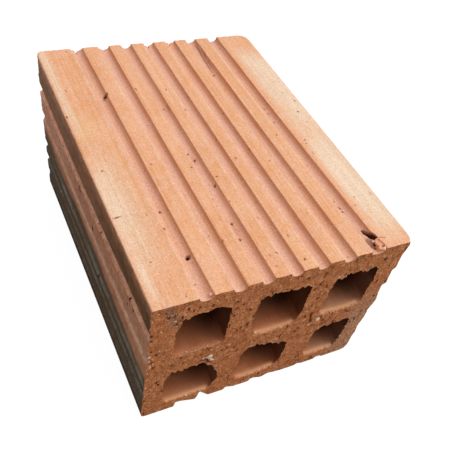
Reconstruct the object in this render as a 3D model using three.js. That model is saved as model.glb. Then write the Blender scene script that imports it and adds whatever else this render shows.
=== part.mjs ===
// Hollow clay brick: an extruded column with six through cells and keying grooves on all four
// long faces, cut to length by a wire. Millimetres, +Z up. The brick lies on its bed face, its
// cells run along Y, and the origin is the middle of the bed face.

import * as THREE from 'three';

// Overall size
const LENGTH = 190;
const WIDTH = 135;
const HEIGHT = 99;

// Cells: their size follows from the walls around them
const CELL_COLUMNS = 3;
const CELL_ROWS = 2;
const SIDE_WALL = 13;
const BED_WALL = 12;
const UPRIGHT_WEB = 12.5;
const LEVEL_WEB = 13;
const CELL_CORNER_RADIUS = 3.5;

// Keying grooves: one profile all round. The top and bed faces have them at one spacing, centred on
// the face. The side faces have them closer together, counted down from the top edge, and the crest
// beside the level web is left plain.
const GROOVE_SPACING = 14.4;
const SIDE_GROOVE_SPACING = 13.2;
const SIDE_GROOVE_DROP = 20;
const GROOVE_MOUTH = 6.6;
const GROOVE_FLOOR = 4;
const GROOVE_DEPTH = 2.7;
const GROOVE_LIP_RADIUS = 0.6;
const GROOVE_FLOOR_RADIUS = 0.9;
const PLAIN_BAND = 16;
const SIDE_FOOT_BAND = 9;

// Long edges of the brick
const EDGE_RADIUS = 4;

// Straight steps in a quarter of each round
const STEPS_PER_ROUND = 3;

const FIRED_CLAY = new THREE.MeshStandardMaterial({
  color: 0xd39a74,
  roughness: 0.92,
  metalness: 0,
});

// The point that lies `distance` from `from` on the way to `to`
function pointAlong(from, to, distance) {
  return to.clone().sub(from).setLength(distance).add(from);
}

// Draws one corner of an outline as an arc that touches both of its sides. Where a side is too
// short for the whole radius, the arc takes at most half of it.
function addRoundedCorner(path, before, corner, after, radius) {
  const toBefore = before.clone().sub(corner);
  const toAfter = after.clone().sub(corner);
  const halfAngle = Math.acos(toBefore.dot(toAfter) / (toBefore.length() * toAfter.length())) / 2;
  const room = Math.min(toBefore.length(), toAfter.length()) / 2;
  const tangent = Math.min(radius / Math.tan(halfAngle), room);
  const arcRadius = tangent * Math.tan(halfAngle);
  const start = pointAlong(corner, before, tangent);
  const end = pointAlong(corner, after, tangent);
  const bisector = toBefore.normalize().add(toAfter.normalize());
  const centre = bisector.setLength(arcRadius / Math.sin(halfAngle)).add(corner);
  const startAngle = start.clone().sub(centre).angle();
  const endAngle = end.clone().sub(centre).angle();
  const turnsLeft = corner.clone().sub(before).cross(after.clone().sub(corner)) > 0;
  path.absarc(centre.x, centre.y, arcRadius, startAngle, endAngle, !turnsLeft);
}

// Closes a path through the given corners, each rounded to its own radius
function drawRounded(path, corners) {
  corners.forEach(({ point, radius }, index) => {
    const before = corners.at(index - 1).point;
    const after = corners[(index + 1) % corners.length].point;
    addRoundedCorner(path, before, point, after, radius);
  });
  path.closePath();
  return path;
}

// Places of the grooves across the top or bed face, with at least the plain band left at each edge
function bedGrooveCentres() {
  const room = WIDTH - 2 * PLAIN_BAND - GROOVE_MOUTH;
  const gaps = Math.floor(room / GROOVE_SPACING);
  const first = (WIDTH - gaps * GROOVE_SPACING) / 2;
  return Array.from({ length: gaps + 1 }, (_, index) => first + index * GROOVE_SPACING);
}

// Heights of the grooves on a side face, from the lowest up
function sideGrooveCentres() {
  const room = HEIGHT - SIDE_GROOVE_DROP - SIDE_FOOT_BAND - GROOVE_MOUTH / 2;
  const gaps = Math.floor(room / SIDE_GROOVE_SPACING);
  const top = HEIGHT - SIDE_GROOVE_DROP;
  const heights = Array.from({ length: gaps + 1 }, (_, index) => top - index * SIDE_GROOVE_SPACING);
  const besideWeb = (height) => Math.abs(height - HEIGHT / 2) < LEVEL_WEB / 2;
  return heights.reverse().filter((height) => !besideWeb(height));
}

// Corners of one face of the section, walked from its first edge to just before its last.
// Along the face, u runs from 0 to the face's width, and v is the height above the face.
function faceCorners(grooveCentres) {
  const corners = [{ point: new THREE.Vector2(0, 0), radius: EDGE_RADIUS }];
  for (const centre of grooveCentres) {
    const profile = [
      [-GROOVE_MOUTH / 2, 0, GROOVE_LIP_RADIUS],
      [-GROOVE_FLOOR / 2, -GROOVE_DEPTH, GROOVE_FLOOR_RADIUS],
      [GROOVE_FLOOR / 2, -GROOVE_DEPTH, GROOVE_FLOOR_RADIUS],
      [GROOVE_MOUTH / 2, 0, GROOVE_LIP_RADIUS],
    ];
    for (const [u, v, radius] of profile) {
      corners.push({ point: new THREE.Vector2(centre + u, v), radius });
    }
  }
  return corners;
}

// The outer outline: bed, right side, top and left side, each face turned a quarter from the last
function outerCorners() {
  const outline = [];
  const start = new THREE.Vector2(-WIDTH / 2, 0);
  const heights = sideGrooveCentres();
  const faces = [
    [WIDTH, bedGrooveCentres()],
    [HEIGHT, heights],
    [WIDTH, bedGrooveCentres()],
    [HEIGHT, heights.map((height) => HEIGHT - height).reverse()],
  ];
  faces.forEach(([faceWidth, grooveCentres], face) => {
    const heading = (face * Math.PI) / 2;
    for (const { point, radius } of faceCorners(grooveCentres)) {
      // The face's own height points out of the brick, to the right of its heading
      const turned = new THREE.Vector2(point.x, -point.y);
      turned.rotateAround(new THREE.Vector2(), heading).add(start);
      outline.push({ point: turned, radius });
    }
    start.add(new THREE.Vector2(faceWidth, 0).rotateAround(new THREE.Vector2(), heading));
  });
  return outline;
}

// The outline of each cell, from the lowest row up
function cellPaths() {
  const cellWidth = (WIDTH - 2 * SIDE_WALL - (CELL_COLUMNS - 1) * UPRIGHT_WEB) / CELL_COLUMNS;
  const cellHeight = (HEIGHT - 2 * BED_WALL - (CELL_ROWS - 1) * LEVEL_WEB) / CELL_ROWS;
  const paths = [];
  for (let row = 0; row < CELL_ROWS; row += 1) {
    for (let column = 0; column < CELL_COLUMNS; column += 1) {
      const left = -WIDTH / 2 + SIDE_WALL + column * (cellWidth + UPRIGHT_WEB);
      const bottom = BED_WALL + row * (cellHeight + LEVEL_WEB);
      const corners = [
        [left, bottom],
        [left, bottom + cellHeight],
        [left + cellWidth, bottom + cellHeight],
        [left + cellWidth, bottom],
      ].map(([x, y]) => ({ point: new THREE.Vector2(x, y), radius: CELL_CORNER_RADIUS }));
      paths.push(drawRounded(new THREE.Path(), corners));
    }
  }
  return paths;
}

// The section that the die gives the clay
function brickSection() {
  const section = drawRounded(new THREE.Shape(), outerCorners());
  section.holes.push(...cellPaths());
  return section;
}

// The clay column, cut to length, with its section turned upright and its length along Y
function buildHollowBrick() {
  const geometry = new THREE.ExtrudeGeometry(brickSection(), {
    depth: LENGTH,
    bevelEnabled: false,
    curveSegments: STEPS_PER_ROUND,
  });
  const mesh = new THREE.Mesh(geometry, FIRED_CLAY);
  mesh.name = 'hollow_brick';
  mesh.rotation.x = Math.PI / 2;
  mesh.position.y = LENGTH / 2;
  return mesh;
}

const brick = new THREE.Group();
brick.add(buildHollowBrick());

export default brick;
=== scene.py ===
"""Looks of the hollow clay brick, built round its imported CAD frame.

Places and sizes are in millimetres in the row frame: X across the width, Y along the cells, Z up
from the bed face. Each mesh is turned into metres when it is finished.
"""

import functools
import itertools
import logging
import math
from collections.abc import Sequence
from dataclasses import dataclass, field
from enum import Enum

import bmesh
import bpy
import numpy as np
from mathutils import Euler, Matrix, Vector


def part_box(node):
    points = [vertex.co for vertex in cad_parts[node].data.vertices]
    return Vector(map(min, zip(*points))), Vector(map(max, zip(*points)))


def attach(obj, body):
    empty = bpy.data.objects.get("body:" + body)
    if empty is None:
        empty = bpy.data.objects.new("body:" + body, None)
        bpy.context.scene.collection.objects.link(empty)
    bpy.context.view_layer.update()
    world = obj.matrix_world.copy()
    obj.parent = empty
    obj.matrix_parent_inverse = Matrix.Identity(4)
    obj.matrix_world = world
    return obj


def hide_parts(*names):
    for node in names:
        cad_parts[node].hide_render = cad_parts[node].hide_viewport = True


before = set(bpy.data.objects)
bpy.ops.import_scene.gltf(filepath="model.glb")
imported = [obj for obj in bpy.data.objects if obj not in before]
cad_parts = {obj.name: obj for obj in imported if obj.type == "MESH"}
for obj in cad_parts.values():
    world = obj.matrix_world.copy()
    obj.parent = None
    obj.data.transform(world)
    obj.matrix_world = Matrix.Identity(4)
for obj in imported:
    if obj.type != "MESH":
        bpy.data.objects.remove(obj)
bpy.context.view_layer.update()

# Short names for the types that come up most
Array = np.ndarray
BMesh = bmesh.types.BMesh
Tree = bpy.types.NodeTree
Socket = bpy.types.NodeSocket
Line = tuple[tuple[float, float], ...]
Place = tuple[float, float, float]
Colour = tuple[float, float, float, float]

MM = 0.001
# How near a face a point has to be to lie on it
FLAT = 1e-3
BODY = "root"
NODE = "hollow_brick"

log = logging.getLogger("hollow_brick")


# ---- numbers along the clay


def smooth(share: Array) -> Array:
    """Eases a share from 0 to 1, and holds it there outside that range."""
    held = np.clip(share, 0.0, 1.0)
    return held * held * (3.0 - 2.0 * held)


def blend(start: Array, end: Array, share: Array) -> Array:
    """Goes from start to end as the share goes from 0 to 1."""
    return start + (end - start) * share


def near(distance: Array, reach: float) -> Array:
    """Gives 1 at no distance, easing to 0 at the reach."""
    return 1.0 - smooth(distance / reach)


def rising(value: Array, start: Array, run: Array) -> Array:
    """Goes from 0 at the start to 1 after the run."""
    return smooth((value - start) / run)


def falling(value: Array, end: Array, run: Array) -> Array:
    """Goes from 1 before the run to 0 at the end."""
    return smooth((end - value) / run)


def beside(value: Array, line: float, reach: float) -> Array:
    """Gives 1 on a line, easing to 0 at the reach on both sides."""
    return near(np.abs(value - line), reach)


def spot(across: Array, along: Array, middle: Sequence[float],
         reach: Sequence[float]) -> Array:
    """Gives 1 at the middle of an oval, easing to 0 at its rim."""
    return near(np.hypot((across - middle[0]) / reach[0], (along - middle[1]) / reach[1]), 1.0)


def within(value: Array, low: float, high: float, past: float = 0.8,
           ease: float = 2.0) -> Array:
    """Gives 1 between two sides, easing to 0 a little way past them."""
    return smooth((value - low + past) / ease) * smooth((high + past - value) / ease)


def between(value: Array, marks: Array, levels: Sequence[Array]) -> Array:
    """Goes from level to level as the value passes the marks.

    Args:
        value: One value a point.
        marks: Values in rising order.
        levels: Result at each mark, one value a point.

    Returns:
        One value a point.
    """
    index = np.clip(np.searchsorted(marks, value) - 1, 0, len(marks) - 2)
    share = np.clip((value - marks[index]) / (marks[index + 1] - marks[index]), 0.0, 1.0)
    table, points = np.array(levels), np.arange(len(value))
    return blend(table[index, points], table[index + 1, points], share)


def spaced(marks: Sequence[float], gap: float) -> Array:
    """Splits the room between marks into equal steps.

    Args:
        marks: Places in rising order, which all stay.
        gap: Longest step allowed.

    Returns:
        All places in rising order.
    """
    places = [marks[0]]
    for low, high in zip(marks, marks[1:]):
        steps = max(1, math.ceil((high - low) / gap - 1e-6))
        places += [low + (high - low) * step / steps for step in range(1, steps + 1)]
    return np.array(places)


def cloud(place: Array, size: Sequence[float], seed: int, octaves: int = 3) -> Array:
    """Gives smooth seeded noise, the same on every run.

    Args:
        place: Points, one per row.
        size: Size of the largest lumps along each axis.
        seed: Number that picks the pattern.
        octaves: Layers, each half the size and strength of the last.

    Returns:
        One value a point, about -1 to 1.
    """
    draws = np.random.default_rng(seed)
    keys = draws.permutation(256)
    values = draws.uniform(-1.0, 1.0, 256)
    total = np.zeros(len(place))
    weight = 0.0
    for octave in range(octaves):
        scaled = place / np.asarray(size) * 2.0**octave + 17.3 * octave
        cell = np.floor(scaled).astype(int)
        part = smooth(scaled - cell)
        for corner in itertools.product((0, 1), repeat=3):
            hashed = np.zeros(len(place), int)
            for axis in range(3):
                hashed = keys[(hashed + cell[:, axis] + corner[axis]) & 255]
            side = np.where(corner, part, 1.0 - part).prod(axis=1)
            total += side * values[hashed] / 2.0**octave
        weight += 1.0 / 2.0**octave
    return total * 1.6 / weight


# ---- the die


@dataclass(frozen=True)
class Groove:
    """Profile of one keying groove: half widths from its middle, and the depth at each."""

    offsets: tuple[float, ...] = (0.0, 0.9, 1.7, 2.35, 2.8, 3.1, 3.25)
    depths: tuple[float, ...] = (2.8, 2.7, 2.4, 1.95, 1.4, 0.75, 0.0)

    def marks(self, centre: float) -> list[float]:
        """Gives the grid places that the profile needs around a groove's middle."""
        return [centre + sign * offset for offset in self.offsets for sign in (-1, 1)]

    def depth(self, place: Array, centres: Sequence[float], scale: Sequence[float]) -> Array:
        """Gives the depth under the crests.

        Args:
            place: Places across the face.
            centres: Middles of the grooves.
            scale: Share of the full depth that each groove has.

        Returns:
            The depth at each place.
        """
        total = np.zeros(len(place))
        for centre, share in zip(centres, scale):
            total += share * np.interp(np.abs(place - centre), self.offsets, self.depths)
        return total


@dataclass(frozen=True)
class Cell:
    """Sides of one cell: places across the width, and heights."""

    left: float
    right: float
    floor: float
    roof: float


@dataclass(frozen=True)
class Die:
    """The opening that the column is drawn through, and the length it is cut to.

    Walls stand beside the cells, and webs between them. A spacing runs from groove to groove, the
    side grooves' drop from the top face to the first of them, and their places are counted down from
    it. The grid gap is the longest step between two lines of the section's grid.
    """

    width: float
    length: float
    height: float
    side_wall: float = 13.0
    bed_wall: float = 12.0
    upright_web: float = 12.5
    level_web: float = 13.0
    cell_corner: float = 2.4
    groove_spacing: float = 14.4
    groove_count: int = 7
    side_groove_spacing: float = 13.2
    side_groove_drop: float = 20.0
    side_groove_places: tuple[int, ...] = (0, 1, 3, 4, 5)
    groove: Groove = field(default_factory=Groove)
    grid_gap: float = 0.8

    @property
    def half_width(self) -> float:
        """Half of the width."""
        return self.width / 2

    @property
    def half_length(self) -> float:
        """Half of the length."""
        return self.length / 2

    @property
    def x_edges(self) -> Array:
        """Places across the width of the outer faces and the cell sides."""
        cell = (self.width - 2 * self.side_wall - 2 * self.upright_web) / 3
        steps = [0, self.side_wall, cell, self.upright_web, cell, self.upright_web, cell, self.side_wall]
        return np.cumsum(steps) - self.half_width

    @property
    def z_edges(self) -> Array:
        """Heights of the outer faces and of the cell floors and roofs."""
        cell = (self.height - 2 * self.bed_wall - self.level_web) / 2
        return np.cumsum([0, self.bed_wall, cell, self.level_web, cell, self.bed_wall])

    @property
    def bed_grooves(self) -> Array:
        """Middles of the grooves across the top and bed faces."""
        return (np.arange(self.groove_count) - (self.groove_count - 1) / 2) * self.groove_spacing

    @property
    def side_grooves(self) -> Array:
        """Heights of the grooves on the side faces, from the top down."""
        first = self.height - self.side_groove_drop
        return first - np.array(self.side_groove_places) * self.side_groove_spacing

    def lines(self, edges: Array, grooves: Array) -> Array:
        """Gives the grid lines along one axis, close together in the grooves."""
        marks = {round(float(mark), 4) for centre in grooves for mark in self.groove.marks(centre)}
        return spaced(sorted(marks | {float(edges[0]), float(edges[-1])}), self.grid_gap)

    @property
    def x_lines(self) -> Array:
        """Grid lines across the width."""
        return self.lines(self.x_edges, self.bed_grooves)

    @property
    def z_lines(self) -> Array:
        """Grid lines up the height."""
        return self.lines(self.z_edges, self.side_grooves)

    @staticmethod
    def snapped(lines: Array, edges: Array) -> Array:
        """Gives the grid line that stands nearest to each edge."""
        return lines[np.abs(lines[None, :] - edges[:, None]).argmin(axis=1)]

    @functools.cached_property
    def x_knots(self) -> Array:
        """Grid lines that stand for the edges across the width."""
        return self.snapped(self.x_lines, self.x_edges)

    @functools.cached_property
    def z_knots(self) -> Array:
        """Grid lines that stand for the edges up the height."""
        return self.snapped(self.z_lines, self.z_edges)

    @staticmethod
    def cells_between(xs: Array, zs: Array) -> list[Cell]:
        """Gives the cells, lower row first and from the left, from the places of their sides."""
        return [Cell(xs[column], xs[column + 1], zs[row], zs[row + 1])
                for row, column in itertools.product((1, 3), (1, 3, 5))]

    @property
    def cells(self) -> list[Cell]:
        """The cells at their real size."""
        return self.cells_between(self.x_edges, self.z_edges)

    @property
    def grid_cells(self) -> list[Cell]:
        """The cells as they lie on the grid."""
        return self.cells_between(self.x_knots, self.z_knots)

    def on_skin(self, point: Vector) -> bool:
        """Tells a point on the four long faces from one in a cell."""
        on_side = abs(abs(point.x) - self.half_width) < FLAT
        return on_side or point.z < FLAT or self.height - point.z < FLAT


@dataclass(frozen=True)
class Surface:
    """Points on the flat column, and where each of them lies.

    Attributes:
        place: The points, one per row.
        from_front: Distance of each from the front plane.
        from_end: Distance of each from the nearer end.
        top: Whether each is on the top face.
        bed: Whether each is on the bed face.
        side: Whether each is on a side face.
    """

    place: Array
    from_front: Array
    from_end: Array
    top: Array
    bed: Array
    side: Array

    @classmethod
    def of(cls, place: Array, die: Die) -> "Surface":
        """Sorts points by the faces that they lie on.

        Args:
            place: The points.
            die: Sizes of the column.

        Returns:
            The sorted points.
        """
        x, y, z = place.T
        from_front, from_back = y + die.half_length, die.half_length - y
        return cls(place, from_front, np.minimum(from_front, from_back),
                   die.height - z < FLAT, z < FLAT, die.half_width - np.abs(x) < FLAT)

    @property
    def left(self) -> Array:
        """Whether each point is on the left face."""
        return self.side & (self.place[:, 0] < 0)

    @property
    def front(self) -> Array:
        """Whether each point is on the front end."""
        return self.from_front < FLAT

    @property
    def within(self) -> Array:
        """Whether each point is off the long faces, on an end or in a cell."""
        return ~(self.top | self.bed | self.side)


@dataclass
class CutEnd:
    """One end of the brick while the wire shapes it.

    Attributes:
        depth: Distance of each point from the end's plane.
        way: Direction into the brick along Y.
        relief: How far behind the plane the wire left each point.
        seed: Number that picks the tears.
    """

    depth: Array
    way: float
    relief: Array
    seed: int


class Face(Enum):
    """Kinds of surface on the brick, in the order of their material slots."""

    SKIN = 0
    CUT = 1
    CELL = 2


class Falloff(Enum):
    """How a dent ends towards its rim."""

    SOFT = 1.0
    SHARP = 0.35
    CUT = 0.28


@dataclass(frozen=True)
class Zone:
    """An egg-shaped part of the column.

    Attributes:
        place: Middle, on the column before any damage.
        reach: Half size along each axis, before the turn.
        finest: Longest edge that the mesh may keep in it.
        turn: Degrees that the zone is turned about its third axis: Z on the long faces.
        upright: Whether the zone lies on a cut end, where the turn is about Y instead.
    """

    place: Place
    reach: Place
    finest: float = 9.0
    turn: float = 0.0
    upright: bool = False

    def away(self, points: Array) -> Array:
        """Gives the distance from the middle.

        Args:
            points: Points on the flat column.

        Returns:
            One value a point, 1 on the rim.
        """
        offset = points - self.place
        if self.turn:
            axis = "Y" if self.upright else "Z"
            offset = offset @ np.array(Matrix.Rotation(math.radians(self.turn), 3, axis))
        return np.linalg.norm(offset / np.array(self.reach), axis=1)


@dataclass(frozen=True)
class Dent(Zone):
    """A place where the clay was pushed, torn or chipped.

    Attributes:
        push: How far the middle moves.
        falloff: How the dent ends.
        torn: How dark the dent is painted, for the torn clay and the shade in its hollow.
    """

    push: Place = (0.0, 0.0, -1.0)
    falloff: Falloff = Falloff.SOFT
    torn: float = 0.0

    def weight(self, points: Array) -> Array:
        """Gives how strongly each point takes part, from 0 to 1."""
        return smooth((1.0 - self.away(points)) / self.falloff.value)

    def stain(self, points: Array) -> Array:
        """Gives how dark each point is painted, for the torn clay and the shade in the dent. A cut dent is
        painted dark right up to its rim.
        """
        gain = 4.0 if self.falloff is Falloff.CUT else 1.0
        return self.torn * np.minimum(gain * self.weight(points), 1.0)


@dataclass(frozen=True)
class Warp:
    """How far one cell's four sides lie from where the die had them.

    A line pairs shares along a side with its shifts there. The shares run up from the floor, or from
    the left. Inside the cell the side keeps the line's mean shift.

    Attributes:
        left: Shifts of the left side, across the width.
        right: Shifts of the right side, across the width.
        floor: Shifts of the floor, upwards.
        roof: Shifts of the roof, upwards.
        ragged: How finely torn the roof lip is.
        bead: Share of the full round that the lower lip has.
    """

    left: Line
    right: Line
    floor: Line
    roof: Line
    ragged: float = 0.6
    bead: float = 1.0

    @staticmethod
    def shift(line: Line, share: Array, lip: Array) -> Array:
        """Gives one side's shift.

        Args:
            line: The side's line.
            share: Places along the side, from 0 to 1.
            lip: How near each place is to the front lip, from 0 to 1.

        Returns:
            The shift at each place.
        """
        shares, shifts = zip(*line)
        mean = np.interp(np.linspace(0.0, 1.0, 21), shares, shifts).mean()
        return blend(mean, np.interp(share, shares, shifts), lip)


@dataclass
class HollowBrick:
    """The fired brick: one closed mesh with its grooves, cells, torn ends and damage.

    Bed grooves are counted from the left, and side grooves from the top. The long edges run from bed
    left to top right.

    Attributes:
        die: Sizes of the drawn column.
        warps: The six cells, lower row first, from the left.
        dents: Damage that has a place of its own.
        corner_radii: Radii of the long edges.
        end_corner_radii: Radii of the back end's upright corners, left and right.
        drift: How far each bed groove wanders at the front, in the middle and at the back.
        left_depths: Share of the full depth that each left groove has.
        left_shifts: How far each left groove stands above the die's place.
        right_depths: Share of the full depth that each right groove has.
        ledge_tones: How pale each left groove is painted, partly dust and partly painted light on its
            upward-facing ledge.
        foot: Clay missing under the front end, by the place across it.
        flank: Clay missing on the right of the front end, by the height.
        ash_lines: Paler lines in the dark grey on the left face, by the height.
        end_steps: Distances from an end at which the long faces get a ring of edges.
        cell_steps: Distances from an end at which the cells get one.
        draw_gap: Longest step between the other rings.
        right_bow: How far the right face is bowed in at the back.
        left_sag: How far the upper left grooves sag at the back.
        lip_round: Radius of the lower lips.
        lip_reach: How far into the clay a lip is torn.
        arris_radius: Radius of the front arris, rubbed round.
        broken_reach: How far behind the front the foot and flank are broken.
        sharp_angle: Degrees between faces from which their edge shows sharp.
    """

    die: Die
    warps: tuple[Warp, ...]
    dents: tuple[Dent, ...]
    corner_radii: tuple[float, float, float, float] = (4.0, 6.5, 0.8, 0.5)
    end_corner_radii: tuple[float, float] = (4.5, 7.0)
    drift: tuple[tuple[float, float, float], ...] = (
        (0.1, -0.7, -1.1), (2.25, 1.25, 1.25), (1.0, 0.3, 0.3), (1.6, 0.85, 0.1),
        (1.2, 0.0, -0.2), (1.2, -0.1, -0.9), (2.9, 0.9, 0.2),
    )
    left_depths: tuple[float, ...] = (1.0, 0.42, 0.5, 0.5, 0.2)
    left_shifts: tuple[float, ...] = (0.8, -6.0, -2.4, 0.0, 0.0)
    right_depths: tuple[float, ...] = (0.75, 1.1, 0.5, 0.65, 0.6)
    ledge_tones: tuple[float, ...] = (1.0, 0.9, 0.3, 0.3, 0.0)
    foot: Line = (
        (-48.8, 0.0), (-48.3, 5.0), (-45.5, 4.6), (-42.0, 3.0), (-36.2, 0.4), (-35.3, 0.8), (-34.9, 7.6),
        (-33.8, 8.4), (-31.0, 4.4), (-28.0, 0.2), (-18.5, 0.0), (-18.1, 2.9), (-15.0, 1.6), (-12.0, 0.0),
        (-2.3, 0.0), (-1.7, 2.2), (0.2, 2.6), (3.0, 1.3), (5.2, 0.0), (7.0, 0.2), (9.0, 1.6), (10.8, 2.0),
        (14.0, 1.0), (19.0, 0.2), (28.0, 0.0), (30.4, 1.5), (33.5, 0.2), (42.4, 0.0), (43.0, 1.8),
        (46.4, 1.8), (48.2, 0.1),
    )
    flank: Line = (
        (3.0, 0.8), (8.0, 0.8), (11.0, 0.9), (14.0, 1.4), (17.0, 0.6), (20.0, 0.6), (23.0, 1.3),
        (26.0, 2.2), (29.0, 1.8), (34.0, 0.8), (38.0, 0.9), (42.0, 1.4), (47.0, 0.5), (51.0, 0.0),
        (55.0, 0.8), (60.0, 2.2), (64.5, 2.9), (65.3, 2.6), (66.3, 0.2), (67.5, 0.2), (70.0, 0.9),
        (73.0, 1.3), (76.5, 1.8), (77.8, 1.6), (79.0, 0.0), (80.5, 0.0), (84.0, 0.9), (90.0, 1.2),
        (94.0, 0.5), (97.0, 0.3),
    )
    ash_lines: Line = (
        (0.0, 0.2), (5.0, 0.0), (8.0, 0.1), (12.0, 0.8), (19.0, 0.5), (23.0, 0.5), (24.5, 1.0), (28.0, 0.9),
        (29.5, 0.0), (31.5, 0.0), (33.0, 1.0), (36.0, 1.0), (38.5, 0.7), (45.0, 0.6), (52.0, 0.2),
    )
    end_steps: tuple[float, ...] = (0.35, 0.8, 1.4, 2.2, 3.3, 4.8, 6.8, 9.5, 12.5)
    cell_steps: tuple[float, ...] = (0.5, 1.2, 2.2, 3.8, 7.0, 15.0, 35.0, 70.0)
    draw_gap: float = 6.5
    right_bow: float = 0.1
    left_sag: float = 3.5
    lip_round: float = 2.8
    lip_reach: float = 2.2
    arris_radius: float = 1.5
    broken_reach: float = 9.0
    sharp_angle: float = 55.0

    @property
    def left_grooves(self) -> Array:
        """Heights of the grooves on the left face, where the die was worn."""
        return self.die.side_grooves + np.array(self.left_shifts)

    def left_height(self, y: Array, z: Array) -> Array:
        """Gives heights on the left face before its upper part sagged towards the back."""
        sag = rising(y, -self.die.half_length, 110.0) - 0.42 * rising(y, 45.0, 45.0)
        return z + self.left_sag * sag * (0.85 * rising(z, 48.0, 5.0) + 0.15 * rising(z, 66.0, 5.0))

    # ---- topology

    def section(self, bm: BMesh) -> None:
        """Lays the section's grid on the front plane and opens the cells.

        Args:
            bm: Mesh under construction.
        """
        die = self.die
        xs, zs = die.x_lines, die.z_lines
        across, up = len(xs) - 1, len(zs) - 1
        bmesh.ops.create_grid(bm, x_segments=across, y_segments=up, size=0.5)
        for vert in bm.verts:
            column = round((vert.co.x + 0.5) * across)
            row = round((vert.co.y + 0.5) * up)
            vert.co = (xs[column], -die.half_length, zs[row])
        holes = []
        for face in bm.faces:
            centre = face.calc_center_median()
            in_column = np.searchsorted(die.x_knots, centre.x) % 2 == 0
            in_row = np.searchsorted(die.z_knots, centre.z) % 2 == 0
            if in_column and in_row:
                holes.append(face)
        bmesh.ops.delete(bm, geom=holes, context="FACES")

    def draw(self, bm: BMesh, rim: list, stops: Array) -> None:
        """Draws rim edges along the length.

        Args:
            bm: Mesh under construction.
            rim: Edges to draw.
            stops: Distances from the front plane at which the walls get a ring of edges.
        """
        done = 0.0
        for stop in stops:
            made = bmesh.ops.extrude_edge_only(bm, edges=rim)["geom"]
            verts = {item for item in made if isinstance(item, bmesh.types.BMVert)}
            bmesh.ops.translate(bm, verts=list(verts), vec=(0.0, stop - done, 0.0))
            edges = (item for item in made if isinstance(item, bmesh.types.BMEdge))
            rim = [edge for edge in edges if all(vert in verts for vert in edge.verts)]
            done = stop

    def column(self) -> BMesh:
        """Builds the closed column with flat faces, its grid lines ready for the shape.

        Returns:
            The column in millimetres.
        """
        die = self.die
        bm = bmesh.new()
        self.section(bm)
        front = list(bm.faces)
        rims = [edge for edge in bm.edges if edge.is_boundary]

        def outside(edge: bmesh.types.BMEdge) -> bool:
            """Tells an edge of the outer outline from one of a cell."""
            return die.on_skin((edge.verts[0].co + edge.verts[1].co) / 2)

        ends, cells = list(self.end_steps), list(self.cell_steps)
        tail = [die.length - step for step in reversed(ends)]
        long_run = spaced([ends[-1], tail[0]], self.draw_gap)
        skin_stops = np.array([*ends[:-1], *long_run, *tail[1:], die.length])
        self.draw(bm, [edge for edge in rims if outside(edge)], skin_stops)
        far = [die.length - step for step in reversed(cells)]
        cell_stops = np.array([*cells, *far, die.length])
        self.draw(bm, [edge for edge in rims if not outside(edge)], cell_stops)
        back = bmesh.ops.duplicate(bm, geom=front)["geom"]
        moved = [item for item in back if isinstance(item, bmesh.types.BMVert)]
        bmesh.ops.translate(bm, verts=moved, vec=(0.0, die.length, 0.0))
        bmesh.ops.remove_doubles(bm, verts=bm.verts, dist=0.02)
        bmesh.ops.recalc_face_normals(bm, faces=bm.faces)
        return bm

    def sort_faces(self, bm: BMesh) -> None:
        """Gives each face of the flat column its material slot.

        Args:
            bm: The flat column.
        """
        for face in bm.faces:
            face.smooth = True
            middle = face.calc_center_median()
            if abs(abs(middle.y) - self.die.half_length) < FLAT:
                face.material_index = Face.CUT.value
            elif self.die.on_skin(middle):
                face.material_index = Face.SKIN.value
            else:
                face.material_index = Face.CELL.value

    def lip_zones(self) -> list[Zone]:
        """Gives the places along the roof lips of the front cells, which tear finely."""
        pairs = zip(self.die.cells, self.die.grid_cells)
        places = [((cell.left + cell.right) / 2, -self.die.half_length, grid_cell.roof)
                  for cell, grid_cell in pairs]
        return [Zone(place, (16.5, 2.0, 2.2), 0.55) for place in places]

    def refine(self, bm: BMesh) -> None:
        """Splits the mesh finer where a dent or a torn lip needs it, and nowhere else.

        Args:
            bm: The flat column.
        """
        fine = [zone for zone in (*self.dents, *self.lip_zones()) if zone.finest < self.draw_gap]
        while True:
            faces = list(bm.faces)
            corners = [np.array([vert.co for vert in face.verts]) for face in faces]
            low = np.array([corner.min(axis=0) for corner in corners])
            high = np.array([corner.max(axis=0) for corner in corners])
            edges = set()
            for zone in fine:
                nearest = np.clip(np.array(zone.place), low, high)
                for index in np.flatnonzero(zone.away(nearest) < 1.1):
                    edges.update(edge for edge in faces[index].edges
                                 if edge.calc_length() > 1.3 * zone.finest)
            if not edges:
                return
            bmesh.ops.subdivide_edges(bm, edges=list(edges), cuts=1, use_grid_fill=True)

    # ---- shape

    def round_cells(self, x: Array, z: Array) -> tuple[Array, Array]:
        """Rounds the corners of the cells and draws the clay round them along.

        Args:
            x: Places across the width.
            z: Heights.

        Returns:
            The moved places and heights.
        """
        radius = self.die.cell_corner
        for cell in self.die.cells:
            middle_x, half_x = (cell.left + cell.right) / 2, (cell.right - cell.left) / 2
            middle_z, half_z = (cell.floor + cell.roof) / 2, (cell.roof - cell.floor) / 2
            a = np.abs(x - middle_x) - (half_x - radius)
            b = np.abs(z - middle_z) - (half_z - radius)
            square = np.maximum(a, b)
            take = (a > 0) & (b > 0) & (square < 2.5 * radius)
            pull = near(np.maximum(square - radius, 0.0), 1.5 * radius)
            scale = 1.0 + (square / np.maximum(np.hypot(a, b), 1e-6) - 1.0) * pull
            x = np.where(take, middle_x + np.sign(x - middle_x) * (half_x - radius + a * scale), x)
            z = np.where(take, middle_z + np.sign(z - middle_z) * (half_z - radius + b * scale), z)
        return x, z

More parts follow.
